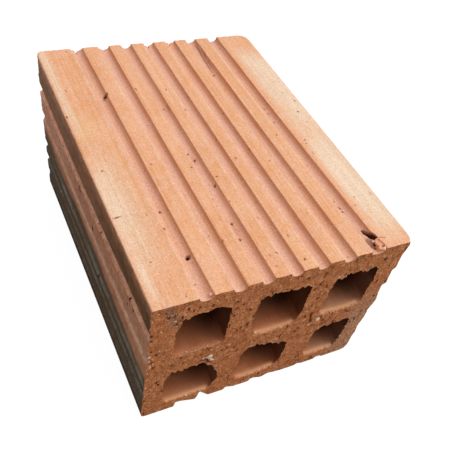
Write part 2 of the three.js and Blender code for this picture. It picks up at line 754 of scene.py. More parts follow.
    def round_edges(self, x: Array, z: Array) -> tuple[Array, Array]:
        """Rounds the four long edges, each with its own radius.

        Args:
            x: Places across the width.
            z: Heights.

        Returns:
            The moved places and heights.
        """
        die = self.die
        corners = ((-1, -1), (1, -1), (-1, 1), (1, 1))
        for (side, level), radius in zip(corners, self.corner_radii):
            inner_x = die.half_width - radius
            inner_z = die.height / 2 - radius
            a = (side * x - inner_x) / radius
            b = (level * (z - die.height / 2) - inner_z) / radius
            take = (a > 0) & (b > 0)
            a_in, b_in = np.clip(a, 0, 1), np.clip(b, 0, 1)
            round_a = a_in * np.sqrt(1.0 - b_in**2 / 2)
            round_b = b_in * np.sqrt(1.0 - a_in**2 / 2)
            x = np.where(take, side * (inner_x + round_a * radius), x)
            z = np.where(take, die.height / 2 + level * (inner_z + round_b * radius), z)
        return x, z

    def warp(self, x: Array, z: Array, lip: Array) -> tuple[Array, Array]:
        """Moves the cells' sides to where the wandering cores and the wire left them.

        Args:
            x: Places across the width.
            z: Heights.
            lip: How near each point is to the front plane, from 0 to 1.

        Returns:
            The moved places and heights.
        """
        die = self.die
        xs, zs = die.x_edges, die.z_edges
        low, high = self.warps[:3], self.warps[3:]
        still = np.zeros(len(x))

        def sideways(row: Sequence[Warp], floor: float, roof: float) -> Array:
            """Shift across the width beside one row of cells."""
            share = (z - floor) / (roof - floor)
            sides = [Warp.shift(line, share, lip) for warp in row for line in (warp.left, warp.right)]
            return between(x, xs, [still, *sides, still])

        def upright(column: int) -> Array:
            """Shift up the height beside one column of cells."""
            left, right = xs[2 * column + 1], xs[2 * column + 2]
            share = (x - left) / (right - left)
            sides = [Warp.shift(line, share, lip) for warp in (low[column], high[column])
                     for line in (warp.floor, warp.roof)]
            return between(z, zs, [still, *sides, still])

        row_share = rising(z, zs[2], die.level_web)
        face_share = np.minimum(smooth(z / die.bed_wall), falling(z, die.height, die.bed_wall))
        beside_row = blend(sideways(low, zs[1], zs[2]), sideways(high, zs[3], zs[4]), row_share)
        moved_x = x + beside_row * face_share
        first, second = (rising(x, edge, die.upright_web) for edge in (xs[2], xs[4]))
        shift = blend(blend(upright(0), upright(1), first), upright(2), second)
        return moved_x, z + shift * falling(np.abs(x), die.half_width, die.side_wall)

    def wander(self, place: Array) -> Array:
        """Gives how far the bed grooves wander sideways.

        Args:
            place: Points on the flat column.

        Returns:
            The shift across the width at each point, before it fades towards the edges.
        """
        die = self.die
        x, y, z = place.T
        share = y / die.half_length
        ends = (share * (share - 1.0) / 2.0, 1.0 - share**2, share * (share + 1.0) / 2.0)
        shift = sum(part * np.interp(x, die.bed_grooves, shifts)
                    for part, shifts in zip(ends, zip(*self.drift)))
        shift += 0.10 * cloud(np.column_stack([x / 3, y, z * 0]), (14.4, 46, 1), 11)
        shift += 0.06 * cloud(np.column_stack([x, y, z * 0]), (9, 7, 1), 12)
        slot = die.bed_grooves[-1] + 3.0
        return shift + 2.0 * falling(y, -80.0, 15.0) * beside(x, slot, 3.2)

    def bed_depth(self, place: Array, keep: Array) -> Array:
        """Gives the depth of the top and bed grooves, less where the wire burred them at the back.

        Args:
            place: Points on the flat column.
            keep: Share of their depth that the grooves keep.

        Returns:
            The depth under the crests at each point.
        """
        die = self.die
        x, y, _ = place.T
        depth = die.groove.depth(x, die.bed_grooves, np.ones(die.groove_count)) * keep
        burr = 0.55 + 0.45 * cloud(place * (1, 0, 0), (16, 1, 1), 16)
        burr *= 1.0 - 0.85 * rising(x, 8.0, 18.0)
        left_half = smooth(((-x[:, None] + die.bed_grooves) % die.groove_spacing).min(axis=1) / 1.2)
        return depth * (1.0 - np.clip(burr, 0, 0.8) * left_half * near(die.half_length - y, 3.5))

    def shaped(self, place: Array) -> Array:
        """Takes points of the flat column to where they are on the fired brick.

        Args:
            place: Points on the flat column.

        Returns:
            The same points on the brick, inside the box of the die.
        """
        die = self.die
        x, y, z = place.T
        by_top, by_bed = near(die.height - z, die.bed_wall), near(z, die.bed_wall)
        by_left = near(x + die.half_width, die.side_wall)
        by_right = near(die.half_width - x, die.side_wall)
        new_x = blend(np.interp(x, die.x_knots, die.x_edges), x, np.maximum(by_top, by_bed))
        new_z = blend(np.interp(z, die.z_knots, die.z_edges), z, np.maximum(by_left, by_right))
        new_x, new_z = self.round_cells(new_x, new_z)
        new_x, new_z = self.warp(new_x, new_z, near(y + die.half_length, 7.0))
        new_x, new_z = self.round_edges(new_x, new_z)

        # The grooves, whose depth varies a little. On the bed and the sides they fade at the front.
        keep = 1.0 + 0.06 * cloud(place, (12, 30, 12), 13)
        whole = rising(y, -die.half_length, 9.0)
        new_x += self.wander(place) * by_top * falling(np.abs(x), die.half_width, 12.0)
        new_z += self.bed_depth(place, keep) * (by_bed * whole - by_top)
        at_left = self.left_height(y, z)
        left_depth = die.groove.depth(at_left, self.left_grooves, self.left_depths) * keep
        new_x += left_depth * by_left * (0.2 + 0.8 * rising(y, -die.half_length, 8.0))
        right_depth = die.groove.depth(z, die.side_grooves, self.right_depths) * keep
        new_x -= right_depth * by_right * whole

        # The skin is not quite flat, and the die leaves fine lines along it
        skin = 0.05 * cloud(place, (26, 60, 26), 14) + 0.03 * cloud(place, (1.6, 90, 1.6), 15, 2)
        skin = np.maximum(skin, 0.0)
        new_z += skin * (by_bed**4 - by_top**4)
        new_x += skin * (by_left**4 - by_right**4)
        new_x -= self.right_bow * rising(y, -45.0, 70.0) * by_right

        shape = self.cut_ends(place, np.column_stack([new_x, y, new_z]))
        for dent in self.dents:
            shape += dent.weight(place)[:, None] * np.array(dent.push)
        low = np.array([-die.half_width, -die.half_length, 0.0])
        high = np.array([die.half_width, die.half_length, die.height])
        return np.clip(shape, low, high)

    # ---- cut ends

    def wire_relief(self, flat: Array, seed: int) -> Array:
        """Gives how far behind its plane the wire left each point of a cut end.

        Args:
            flat: Points, pressed onto one upright plane.
            seed: Number that picks the tears.

        Returns:
            The distance at each point.
        """
        relief = 0.08 + 0.08 * cloud(flat, (24, 900, 18), seed)
        relief += 0.12 * cloud(flat, (3.4, 900, 4.4), seed + 1)
        relief += 0.10 * cloud(flat, (1.1, 900, 6.0), seed + 2, 2)
        return np.maximum(relief, 0.0)

    def front_relief(self, flat: Array) -> Array:
        """Gives the relief of the front end, which is less along the top and the bed."""
        edge = np.minimum(flat[:, 2], self.die.height - flat[:, 2])
        return self.wire_relief(flat, 41) * (1.0 - 0.85 * near(edge, 2.5))

    def back_relief(self, flat: Array) -> Array:
        """Gives the relief of the back end, which is bowed and has its upright corners rounded.

        Args:
            flat: Points, pressed onto one upright plane.

        Returns:
            How far behind the back plane each point lies.
        """
        x, _, z = flat.T
        bow = np.maximum(0.15 + 0.5 * cloud(flat, (21, 1, 60), 31), 0.0)
        relief = (self.wire_relief(flat, 51) + bow) * (1.0 - 0.8 * rising(np.abs(x), 42.0, 6.0))
        for side, radius in zip((-1, 1), self.end_corner_radii):
            over = np.clip((side * x - self.die.half_width + radius) / radius, 0.0, 1.0)
            full = 1.0 if side > 0 else 0.25 + 0.75 * rising(z, 84.0, 9.0)
            relief += full * radius * (1.0 - np.sqrt(1.0 - over**2))
        return relief

    def press_floor_lip(self, flat: Array, moved: Array, end: CutEnd, cell: Cell,
                        bead: Array) -> None:
        """Presses the lower lip of a cell round, so that it catches the light along its length.

        Args:
            flat: Points, pressed onto one upright plane.
            moved: The same points on the brick, which this moves.
            end: The cut end, whose relief this smooths.
            cell: The cell.
            bead: Share of the full round at each point.
        """
        z = flat[:, 2]
        radius = self.lip_round
        end.relief *= 1.0 - 0.85 * beside(z, cell.floor, 3.0) * bead
        below, behind = np.clip((cell.floor - z) / radius, 0, 1), np.clip(end.depth / radius, 0, 1)
        climb, lean = (1.0 - below) * math.pi / 4, (1.0 - behind) * math.pi / 4
        on_face = (end.depth < FLAT) & (z < cell.floor + FLAT) & (below < 1)
        on_floor = (end.depth > FLAT) & (np.abs(z - cell.floor) < FLAT) & (behind < 1)
        moved[:, 1] += end.way * radius * bead * (on_face * (1.0 - np.cos(climb))
                                                  + on_floor * (1.0 - np.sin(lean) - behind))
        moved[:, 2] += radius * bead * (on_face * (below - 1.0 + np.sin(climb))
                                        - on_floor * (1.0 - np.cos(lean)))

    def tear_lips(self, flat: Array, moved: Array, end: CutEnd, cell: Cell, ragged: float,
                  seed: int) -> None:
        """Leaves the upper lip of a cell in hanging teeth, and its side lips slightly ragged.

        Args:
            flat: Points, pressed onto one upright plane.
            moved: The same points on the brick, which this moves.
            end: The cut end.
            cell: The cell.
            ragged: How finely torn the roof lip is.
            seed: Number that picks the pattern.
        """
        x, _, z = flat.T
        at_lip = np.clip(1.0 - end.depth / self.lip_reach, 0, 1)
        teeth = cloud(flat, (3.4, 1, 60), seed, 2) + 0.8 * cloud(flat, (1.5, 1, 60), seed + 40, 2)
        teeth = ragged * (2.0 * np.maximum(teeth, 0) + 1.2 * np.minimum(teeth, 0))
        hold = np.clip(1.0 - np.abs(z - cell.roof) / 2.6, 0, 1) * at_lip
        moved[:, 2] -= teeth * hold * within(x, cell.left, cell.right)
        for edge, turn in ((cell.left, 1), (cell.right, -1)):
            fray = cloud(flat, (60, 1, 2.2), seed + turn, 3)
            hold = np.clip(1.0 - np.abs(x - edge) / self.lip_reach, 0, 1) * at_lip
            moved[:, 0] += turn * 0.8 * fray * hold * within(z, cell.floor, cell.roof)

    def wear_arrises(self, place: Array, moved: Array, ends: Sequence[CutEnd]) -> None:
        """Rounds the front arris along the bed and the right face, and crumbles those of both ends.

        Args:
            place: Points on the flat column.
            moved: The same points on the brick, which this moves.
            ends: The front end and the back end.
        """
        die = self.die
        x, _, z = place.T
        flat = place * (1.0, 0.0, 1.0)
        radius = self.arris_radius
        for away in (z, die.half_width - x):
            over = 1.0 - np.clip(away / radius, 0.0, 1.0)
            moved[:, 1] += radius * (1.0 - np.sqrt(1.0 - over**2)) * near(ends[0].depth, 6.0)
        for end, seed in zip(ends, (81, 91)):
            crumble = np.maximum(0.5 * cloud(flat, (4.2, 1, 4.2), seed) - 0.08, 0.0)
            crumble += np.maximum(0.6 * cloud(flat, (1.7, 1, 1.7), seed + 5) - 0.12, 0.0)
            hold = crumble * np.clip(1.0 - end.depth / 1.6, 0, 1)
            moved[:, 2] += hold * (0.3 * near(z, 1.2) - near(die.height - z, 1.2))
            moved[:, 0] += hold * (near(x + die.half_width, 1.2) - near(die.half_width - x, 1.2))

    def break_foot(self, place: Array, moved: Array, depth: Array) -> None:
        """Cuts the front end's foot and right flank back to what is left of them.

        Args:
            place: Points on the flat column.
            moved: The same points on the brick, which this moves.
            depth: Distance of each point from the front plane.
        """
        x, _, z = place.T
        at_front = near(depth, self.broken_reach)
        lift = np.interp(x, *zip(*self.foot)) * at_front
        moved[:, 2] += lift * np.clip(1.0 - z / (self.die.bed_wall - 1.0), 0.0, 1.0)
        inset = np.interp(z, *zip(*self.flank)) * at_front
        from_right = self.die.half_width - x
        moved[:, 0] -= inset * np.clip(1.0 - from_right / self.broken_reach, 0.0, 1.0)

    def cut_ends(self, place: Array, shape: Array) -> Array:
        """Gives both ends what the wire left of them.

        Args:
            place: Points on the flat column.
            shape: The same points as the die and the warping left them.

        Returns:
            The points with rough ends, pressed and torn lips, worn arrises and a broken foot.
        """
        die = self.die
        flat = place * (1.0, 0.0, 1.0)
        moved = shape.copy()
        front = CutEnd(place[:, 1] + die.half_length, 1.0, self.front_relief(flat), 61)
        back = CutEnd(die.half_length - place[:, 1], -1.0, self.back_relief(flat), 71)
        for end in (front, back):
            for index, (cell, warp) in enumerate(zip(die.grid_cells, self.warps), start=1):
                bead = warp.bead * within(flat[:, 0], cell.left, cell.right)
                self.press_floor_lip(flat, moved, end, cell, bead)
                self.tear_lips(flat, moved, end, cell, warp.ragged, end.seed + 3 * index)
        moved[:, 1] += front.relief * near(front.depth, 5.0) - back.relief * near(back.depth, 12.0)
        self.wear_arrises(place, moved, (front, back))
        self.break_foot(place, moved, front.depth)
        return moved

    # ---- masks for the finishes

    def groove_masks(self, on: Surface) -> dict[str, Array]:
        """Gives the masks that follow the grooves.

        Args:
            on: The points.

        Returns:
            hollow: depth, painted_shade: painted shade on the right side of each groove,
                wear_and_painted_highlight: painted highlight along the left lips.
        """
        die = self.die
        x, y, z = on.place.T
        full = die.groove.depth(x, die.bed_grooves, [1] * die.groove_count)
        hollow = np.where(on.top | on.bed, full, 0)
        # The ledges of the left grooves, paled partly as dust and partly as painted light.
        ledges = die.groove.depth(self.left_height(y, z), self.left_grooves, self.ledge_tones)
        hollow = np.maximum(hollow, np.where(on.side, ledges, 0))
        across = (x[:, None] - die.bed_grooves) * on.top[:, None]
        # Painted shade: the right side of each groove on the top is darkened, as it faces away from the
        # light.
        painted_groove_shade = rising(across, 0.6, 2.4) * (across < die.groove.offsets[-1] + 0.01)
        # Painted highlight: a pale line along the left lip of each groove on the top, where light falls on
        # it.
        return {"hollow": np.clip(hollow / die.groove.depths[0], 0, 1),
                "painted_shade": 0.85 * painted_groove_shade.max(axis=1),
                "wear_and_painted_highlight": beside(across, -2.9, 1.7).max(axis=1) * on.top}

    def cell_masks(self, on: Surface, painted_shade: Array) -> dict[str, Array]:
        """Gives the masks of the cells.

        Args:
            on: The points.
            painted_shade: Painted shade on the grooves, which the cells' painted shade is added to.

        Returns:
            bead: pressed and torn lips of the cells, painted paler as a highlight, painted_shade: painted
                shade on grooves and cells.
        """
        x, _, z = on.place.T
        bead = np.zeros(len(x))
        inward = rising(on.from_end, 1.0, 13.0)
        both = zip(self.die.cells, self.die.grid_cells, self.warps)
        for index, (cell, grid_cell, warp) in enumerate(both):
            # Painted highlight along each cell's rounded lower lip, and in broken bits along its torn roof
            # rim.
            lip = near(np.hypot(np.abs(z - grid_cell.floor) / 2.6, on.from_front / 3.0), 1.0)
            lip *= within(x, cell.left, cell.right, past=0.0, ease=3.0) * warp.bead
            rim = near(np.hypot(np.abs(z - grid_cell.roof) / 1.4, on.from_front), 1.0)
            rim *= within(x, cell.left, cell.right, past=1.0)
            seed = 309 + 14 * (index % 3) + 2 * (index // 3)
            rim *= smooth(0.5 + cloud(on.place * (1, 0, 0), (2.2, 1, 1), seed))
            bead = np.maximum(bead, np.maximum(lip, 0.8 * rim))

            # Painted shade inside the cells: darker deeper in from the ends, towards the right, up the
            # sides and most up the right side.
            held = on.within & (x > cell.left - 1) & (x < cell.right + 1)
            held &= (z > cell.floor - 1) & (z < cell.roof + 1)
            upper = smooth((z - cell.floor) / (cell.roof - cell.floor) * 1.3)
            across = rising(x, cell.left + 6.0, 22.0)
            dark = 0.20 * across + 0.30 * inward + 0.45 * across * inward
            side_on = rising(x, cell.right - 1.5, 1.5) * rising(z, cell.floor - 1.0, 8.0)
            dark = np.maximum(np.maximum(dark, 0.80 * side_on), 0.65 * upper + 0.2 * across)
            painted_shade = np.where(held, dark, painted_shade)
        return {"bead": bead, "painted_shade": painted_shade}

    def firing_masks(self, on: Surface) -> dict[str, Array]:
        """Gives the darker marks on the left face and the front.

        Args:
            on: The points.

        Returns:
            scorch_and_shade: darker brown, partly firing colour and partly painted shade, grey_marks: dark
                grey ones, ash: paler lines in the grey.
        """
        x, y, z = on.place.T
        # Painted shade, partly firing colour: the plain upper band of the left face, above its first
        # groove, is darker brown.
        brim = self.left_grooves[0] + self.die.groove.offsets[3]
        scorch_and_shade = rising(self.left_height(y, z), brim, 0.6) * (1.0 - 0.45 * rising(z, 90.0, 8.0))
        scorch_and_shade = np.where(on.left, scorch_and_shade, 0.0) * (1.0 - 0.3 * rising(y, -70.0, 60.0))
        # Dark grey towards the bottom of the left face, below a wandering edge, and a grey streak on the
        # front.
        edge = 46.0 + 5.0 * rising(y, -80.0, 60.0) + 2.5 * rising(y, 20.0, 60.0)
        edge += 2.0 * cloud(on.place * (0, 1, 0), (1, 20, 1), 22)
        grey_marks = np.where(on.left, falling(z, edge, 6.0 + 5.0 * rising(y, 10.0, 50.0)), 0.0)
        streak = near(np.abs(x + 58.5 + 0.10 * (z - 92.0)), 4.0) * rising(z, 78.0, 9.0)
        return {"scorch_and_shade": scorch_and_shade, "grey_marks": np.where(on.front, 0.6 * streak, grey_marks),
                "ash": np.interp(z, *zip(*self.ash_lines))}

    def salt_masks(self, on: Surface) -> dict[str, Array]:
        """Gives the bloom of pale salts, and the yellow stain.

        Args:
            on: The points.

        Returns:
            bloom: pale salts on the top, the left face and the front, and dust in the cells,
            ochre: the stain.
        """
        x, y, z = on.place.T
        patch = smooth(0.5 + 0.9 * cloud(on.place, (26, 42, 26), 21))
        along = rising(y, -100.0, 30.0) * (1.0 - 0.9 * rising(y, 64.0, 18.0))
        right_band = rising(x, self.die.bed_grooves[-1] + 4.0, 6.0)
        right_bloom = 0.95 * right_band * along * (0.45 + 0.55 * patch)
        left_arris = beside(x, -64.0, 4.0) * np.maximum(rising(y, 5.0, 30.0), beside(y, -78.0, 24.0))
        left_bloom = np.maximum(spot(x, y, (-62.0, -38.0), (18.0, 58.0)), left_arris)
        on_top = np.maximum(right_bloom, 0.98 * left_bloom * (0.7 + 0.3 * patch))
        in_cells = 0.5 * rising(x, 18.0, 20.0) + 0.22 * spot(x, z, (-41.0, 28.0), (32.0, 32.0))
        in_cells *= near(np.maximum(on.from_end - 3.0, 0.0), 16.0)
        on_left = (0.15 + 0.85 * rising(y, 5.0, 50.0)) * rising(z, 51.0, 5.0)
        on_front = 0.8 * rising(x, 42.0, 14.0) * falling(z, 74.0, 30.0)
        ochre = 0.7 * spot(x, y, (-60.0, 25.0), (9.0, 20.0))
        places = [on.front, on.left, on.within, on.top]
        return {"bloom": np.select(places, [on_front, on_left, in_cells, on_top], 0.0),
                "ochre": np.where(on.top, ochre, 0.0)}

    def masks(self, place: Array) -> dict[str, Array]:
        """Gives the masks that the finishes read, one value a point.

        Args:
            place: Points on the flat column.

        Returns:
            hollow: depth in a groove, painted_shade: painted shade on the right sides of the grooves and in
                the cells, bloom: pale salts, bead: lips of the cells, painted paler as a highlight, ochre:
                yellow stain, scorch_and_shade: darker brown, partly firing colour and partly painted shade,
            grey_marks: dark grey ones, ash: paler lines in the grey, side: the ruddy side faces,
            wear_and_painted_highlight: painted highlight along the lips of the grooves, torn: torn clay
                in dents, painted dark as the shade there.
            bead: lips of the cells, ochre: yellow stain, scorch: brown firing marks, smoke: grey
            ones, ash: paler lines in the smoke, side: the ruddy side faces, worn: pale lips of the
            grooves, torn: raw torn clay.
        """
        on = Surface.of(place, self.die)
        found = self.groove_masks(on) | self.firing_masks(on) | self.salt_masks(on)
        found |= self.cell_masks(on, found["painted_shade"])
        # Painted shade: dents, pits and tears are darkened in colour towards the pore tone.
        torn = np.zeros(len(place))
        for dent in self.dents:
            torn = np.maximum(torn, dent.stain(place))
        return found | {"side": on.side * 1.0, "torn": torn}

    def build(self) -> bpy.types.Object:
        """Builds the brick and puts it in the scene.

        Returns:
            The finished piece, in metres, with its masks stored as point attributes.
        """
        bm = self.column()
        self.sort_faces(bm)
        self.refine(bm)
        mesh = bpy.data.meshes.new("fired_brick")
        bm.to_mesh(mesh)
        bm.free()
        place = np.empty(len(mesh.vertices) * 3)
        mesh.vertices.foreach_get("co", place)
        place = place.reshape(-1, 3)
        mesh.vertices.foreach_set("co", (self.shaped(place) * MM).ravel())
        for name, values in self.masks(place).items():
            layer = mesh.attributes.new(name, "FLOAT", "POINT")
            layer.data.foreach_set("value", values.astype(np.float32))
        mesh.update()
        mesh.set_sharp_from_angle(angle=math.radians(self.sharp_angle))
        return link_piece("fired_brick", mesh)


def link_piece(name: str, mesh: bpy.types.Mesh) -> bpy.types.Object:
    """Puts a finished mesh in the scene as an object that sits at the origin."""
    obj = bpy.data.objects.new(name, mesh)
    bpy.context.scene.collection.objects.link(obj)
    return obj


# ---- grit and torn clay


def piece_from(bm: BMesh, name: str) -> bpy.types.Object:
    """Turns a finished mesh in millimetres into a piece in metres, and frees it.

    Args:
        bm: The mesh.
        name: Name of the piece.

    Returns:
        The piece.
    """
    bmesh.ops.scale(bm, verts=bm.verts, vec=(MM, MM, MM))
    mesh = bpy.data.meshes.new(name)
    bm.to_mesh(mesh)
    bm.free()
    return link_piece(name, mesh)


@dataclass(frozen=True)
class Grain:
    """One pale grain that has a place of its own, on the front end unless told otherwise.

    Attributes:
        x: Place across the width.
        z: Height on the front end, or place along the length elsewhere.
        radius: Mean radius.
        below_top: Depth under the top face, for a grain that lies there.
        on_left: Height on the left face, for a grain that lies there.
    """

    x: float
    z: float
    radius: float
    below_top: float | None = None
    on_left: float | None = None


@dataclass
class Grit:
    """Pale grains that the wire laid bare on the cut ends, as one mesh.

    The named ones have a place of their own, and `count` small ones are scattered over each end.
    """

    brick: HollowBrick
    named: tuple[Grain, ...]
    count: int = 80
    seed: int = 5
    smallest: float = 0.16
    largest: float = 0.42

    def places(self, draws: np.random.Generator) -> Array:
        """Draws places across the clay of an end, clear of the cells.

        Args:
            draws: Source of the random numbers.

        Returns:
            Places across the width and heights, one pair a row.
        """
        die = self.brick.die
        xs, zs = die.x_edges, die.z_edges
        found = []
        while len(found) < self.count:
            x = draws.uniform(-die.half_width + 1.0, die.half_width - 1.0)
            z = draws.uniform(1.5, die.height - 1.0)
            if np.searchsorted(xs, x) % 2 or np.searchsorted(zs, z) % 2:
                found.append((x, z))
        return np.array(found)

    def grain(self, bm: BMesh, centre: Sequence[float], radius: float,
              draws: np.random.Generator, rounds: int = 1) -> None:
        """Adds one grain of uneven shape.

        Args:
            bm: Mesh under construction.
            centre: Middle of the grain.
            radius: Its mean radius.
            draws: Source of the random numbers.
            rounds: How often the ball is subdivided.
        """
        turn = Euler(draws.uniform(0, math.tau, 3)).to_matrix().to_4x4()
        stretch = Matrix.Diagonal((*draws.uniform(0.6, 1.35, 3), 1.0))
        made = bmesh.ops.create_icosphere(bm, subdivisions=rounds, radius=radius,
                                          matrix=Matrix.Translation(centre) @ turn @ stretch)
        for vert in made["verts"]:
            vert.co += Vector(draws.uniform(-0.22, 0.22, 3)) * radius

    def build(self) -> bpy.types.Object:
        """Builds the grains, half sunk in the clay.

        Returns:
            The finished piece, in metres.
        """
        draws = np.random.default_rng(self.seed)
        die = self.brick.die
        bm = bmesh.new()
        for way in (1.0, -1.0):
            spots = self.places(draws)
            plane = np.full(len(spots), -way * die.half_length)
            flat = np.column_stack([spots[:, 0], plane, spots[:, 1]])
            for x, y, z in self.brick.shaped(flat):
                radius = self.smallest + (self.largest - self.smallest) * draws.random() ** 2
                self.grain(bm, (x, y + way * radius * 0.9, z), radius, draws)
        for grain in self.named:
            if grain.on_left is not None:
                centre = (grain.x, grain.z, grain.on_left)
            elif grain.below_top is not None:
                centre = (grain.x, grain.z, die.height - grain.below_top)
            else:
                spot = self.brick.shaped(np.array([[grain.x, -die.half_length, grain.z]]))[0]
                centre = (grain.x, spot[1] + 0.15 * grain.radius, grain.z)
            self.grain(bm, centre, grain.radius, draws, 2)
        keep_inside(bm, die)
        return piece_from(bm, "grit_grains")


def keep_inside(bm: BMesh, die: Die) -> None:
    """Presses vertices that stick out of the die's box back onto it."""
    for vert in bm.verts:
        vert.co.x = min(max(vert.co.x, -die.half_width), die.half_width)
        vert.co.y = min(max(vert.co.y, -die.half_length), die.half_length)
        vert.co.z = min(max(vert.co.z, 0.0), die.height)


@dataclass(frozen=True)
class Flake:
    """A torn bit of clay that still clings.

    Attributes:
        place: Middle of the flake.
        size: Its three sizes before it is turned.
        turn: Degrees about X, Y and Z.
        roughness: How deeply it is torn, as a share of its thickness.
    """

    place: Place
    size: Place
    turn: Place = (0.0, 0.0, 0.0)
    roughness: float = 0.62


@dataclass
class TornClay:
    """Flakes and burrs of torn clay, as one mesh.

    Attributes:
        flakes: The flakes.
        die: Sizes of the brick, which they stay inside.
        cuts: How often each side of a flake is cut.
    """

    flakes: tuple[Flake, ...]
    die: Die
    cuts: int = 4

    def build(self) -> bpy.types.Object:
        """Builds each flake from a finely cut block with torn sides.

        Returns:
            The finished piece, in metres.
        """
        bm = bmesh.new()
        for index, flake in enumerate(self.flakes):
            before = len(bm.verts)
            corners = bmesh.ops.create_cube(bm, size=1.0)["verts"]
            edges = {edge for vert in corners for edge in vert.link_edges}
            bmesh.ops.subdivide_edges(bm, edges=list(edges), cuts=self.cuts, use_grid_fill=True)
            verts = list(bm.verts)[before:]
            turn = Euler([math.radians(angle) for angle in flake.turn]).to_matrix()
            unit = np.array([vert.co for vert in verts])
            ball = unit / np.maximum(np.linalg.norm(unit, axis=1), 1e-6)[:, None] * 0.55
            body = blend(unit, ball, 0.3) * flake.size
            thin = min(flake.size)
            for axis in range(3):
                seed = 200 + 5 * index + axis
                torn = cloud(unit * flake.size + 9.0 * index, (thin * 1.2,) * 3, seed)
                body[:, axis] += flake.roughness * thin * torn
            for vert, spot in zip(verts, body):
                vert.co = turn @ Vector(spot) + Vector(flake.place)
        keep_inside(bm, self.die)
        for face in bm.faces:
            face.smooth = True
        return piece_from(bm, "torn_clay")


# ---- node trees

@dataclass
class Graph:
    """A node tree being wired."""

    tree: Tree

    def add(self, kind: str, inputs: dict | None = None, **settings) -> bpy.types.Node:
        """Adds a node.

        Args:
            kind: Blender's name of the node type.
            inputs: Values or output sockets, by the input's name or index.
            **settings: Properties of the node itself.

        Returns:
            The node.
        """
        node = self.tree.nodes.new(kind)
        for name, value in settings.items():
            setattr(node, name, value)
        for name, value in (inputs or {}).items():
            self.feed(node.inputs[name], value)
        return node

    def feed(self, socket: Socket, value: object) -> None:
        """Sets an input to a value, or links it to an output socket.

        Args:
            socket: The input.
            value: A value that suits it, or an output socket.
        """
        if isinstance(value, Socket):
            self.tree.links.new(value, socket)
        else:
            socket.default_value = value

    def group(self, tree: Tree, **inputs: object) -> bpy.types.Node:
        """Places a shared group, with its inputs by name."""
        return self.add("ShaderNodeGroup", inputs, node_tree=tree)

    def math(self, operation: str, first: object, second: object = 0.0,
             clamp: bool = False) -> Socket:
        """Works out one number from two."""
        node = self.add("ShaderNodeMath", {0: first, 1: second}, operation=operation, use_clamp=clamp)
        return node.outputs[0]

    def times(self, first: object, second: object, clamp: bool = False) -> Socket:
        """Multiplies two numbers."""
        return self.math("MULTIPLY", first, second, clamp)

    def over(self, first: object, second: object) -> Socket:
        """Divides the first number by the second."""
        return self.math("DIVIDE", first, second)

    def total(self, *parts: object) -> Socket:
        """Adds numbers up."""
        return functools.reduce(functools.partial(self.math, "ADD"), parts)

    def ramp(self, value: object, low: float, high: float, start: float = 0.0,
             end: float = 1.0) -> Socket:
        """Eases a number from the start level to the end one as it goes from low to high."""
        node = self.add("ShaderNodeMapRange", {"Value": value, "From Min": low, "From Max": high,
                                               "To Min": start, "To Max": end},
                        interpolation_type="SMOOTHSTEP")
        return node.outputs["Result"]

    def mix(self, share: object, first: object, second: object,
            blend_type: str = "MIX") -> Socket:
        """Mixes two colours.

        Args:
            share: How much of the second is taken, from 0 to 1.
            first: A colour, or the output of one.
            second: Another.
            blend_type: Blender's name of the way they mix.

        Returns:
            The mixed colour.
        """
        node = self.add("ShaderNodeMix", data_type="RGBA", blend_type=blend_type)
        sockets = {socket.identifier: socket for socket in node.inputs}
        self.feed(sockets["Factor_Float"], share)
        self.feed(sockets["A_Color"], first)
        self.feed(sockets["B_Color"], second)
        return next(s for s in node.outputs if s.identifier == "Result_Color")

    def lay(self, colour: object, tone: object, mask: object, share: float) -> Socket:
        """Lays a tone over a colour, as strongly as the share of the mask."""
        return self.mix(self.times(mask, share), colour, tone)

    def stretched(self, vector: object, scale: Sequence[float]) -> Socket:
        """Scales a vector along each axis."""
        return self.add("ShaderNodeMapping", {"Vector": vector, "Scale": scale}).outputs["Vector"]

    def noise(self, vector: object, scale: object, detail: float = 2.0,
              roughness: float = 0.5, distortion: float = 0.0) -> Socket:
        """Gives smooth noise, a number between 0 and 1 and mostly near the middle."""
        node = self.add("ShaderNodeTexNoise", {"Vector": vector, "Scale": scale, "Detail": detail,
                                               "Roughness": roughness, "Distortion": distortion})
        return node.outputs["Fac"]

    def tinted(self, level: object, powers: Sequence[float]) -> Socket:
        """Turns a level about 1 into a colour: darker is deeper in tone, and lighter is paler."""
        parts = [self.math("POWER", level, power) for power in powers]
        node = self.add("ShaderNodeCombineColor", dict(zip(("Red", "Green", "Blue"), parts)))
        return node.outputs["Color"]

    def mask(self, name: str) -> Socket:
        """Reads a point attribute of the mesh."""
        return self.add("ShaderNodeAttribute", attribute_name=name).outputs["Fac"]


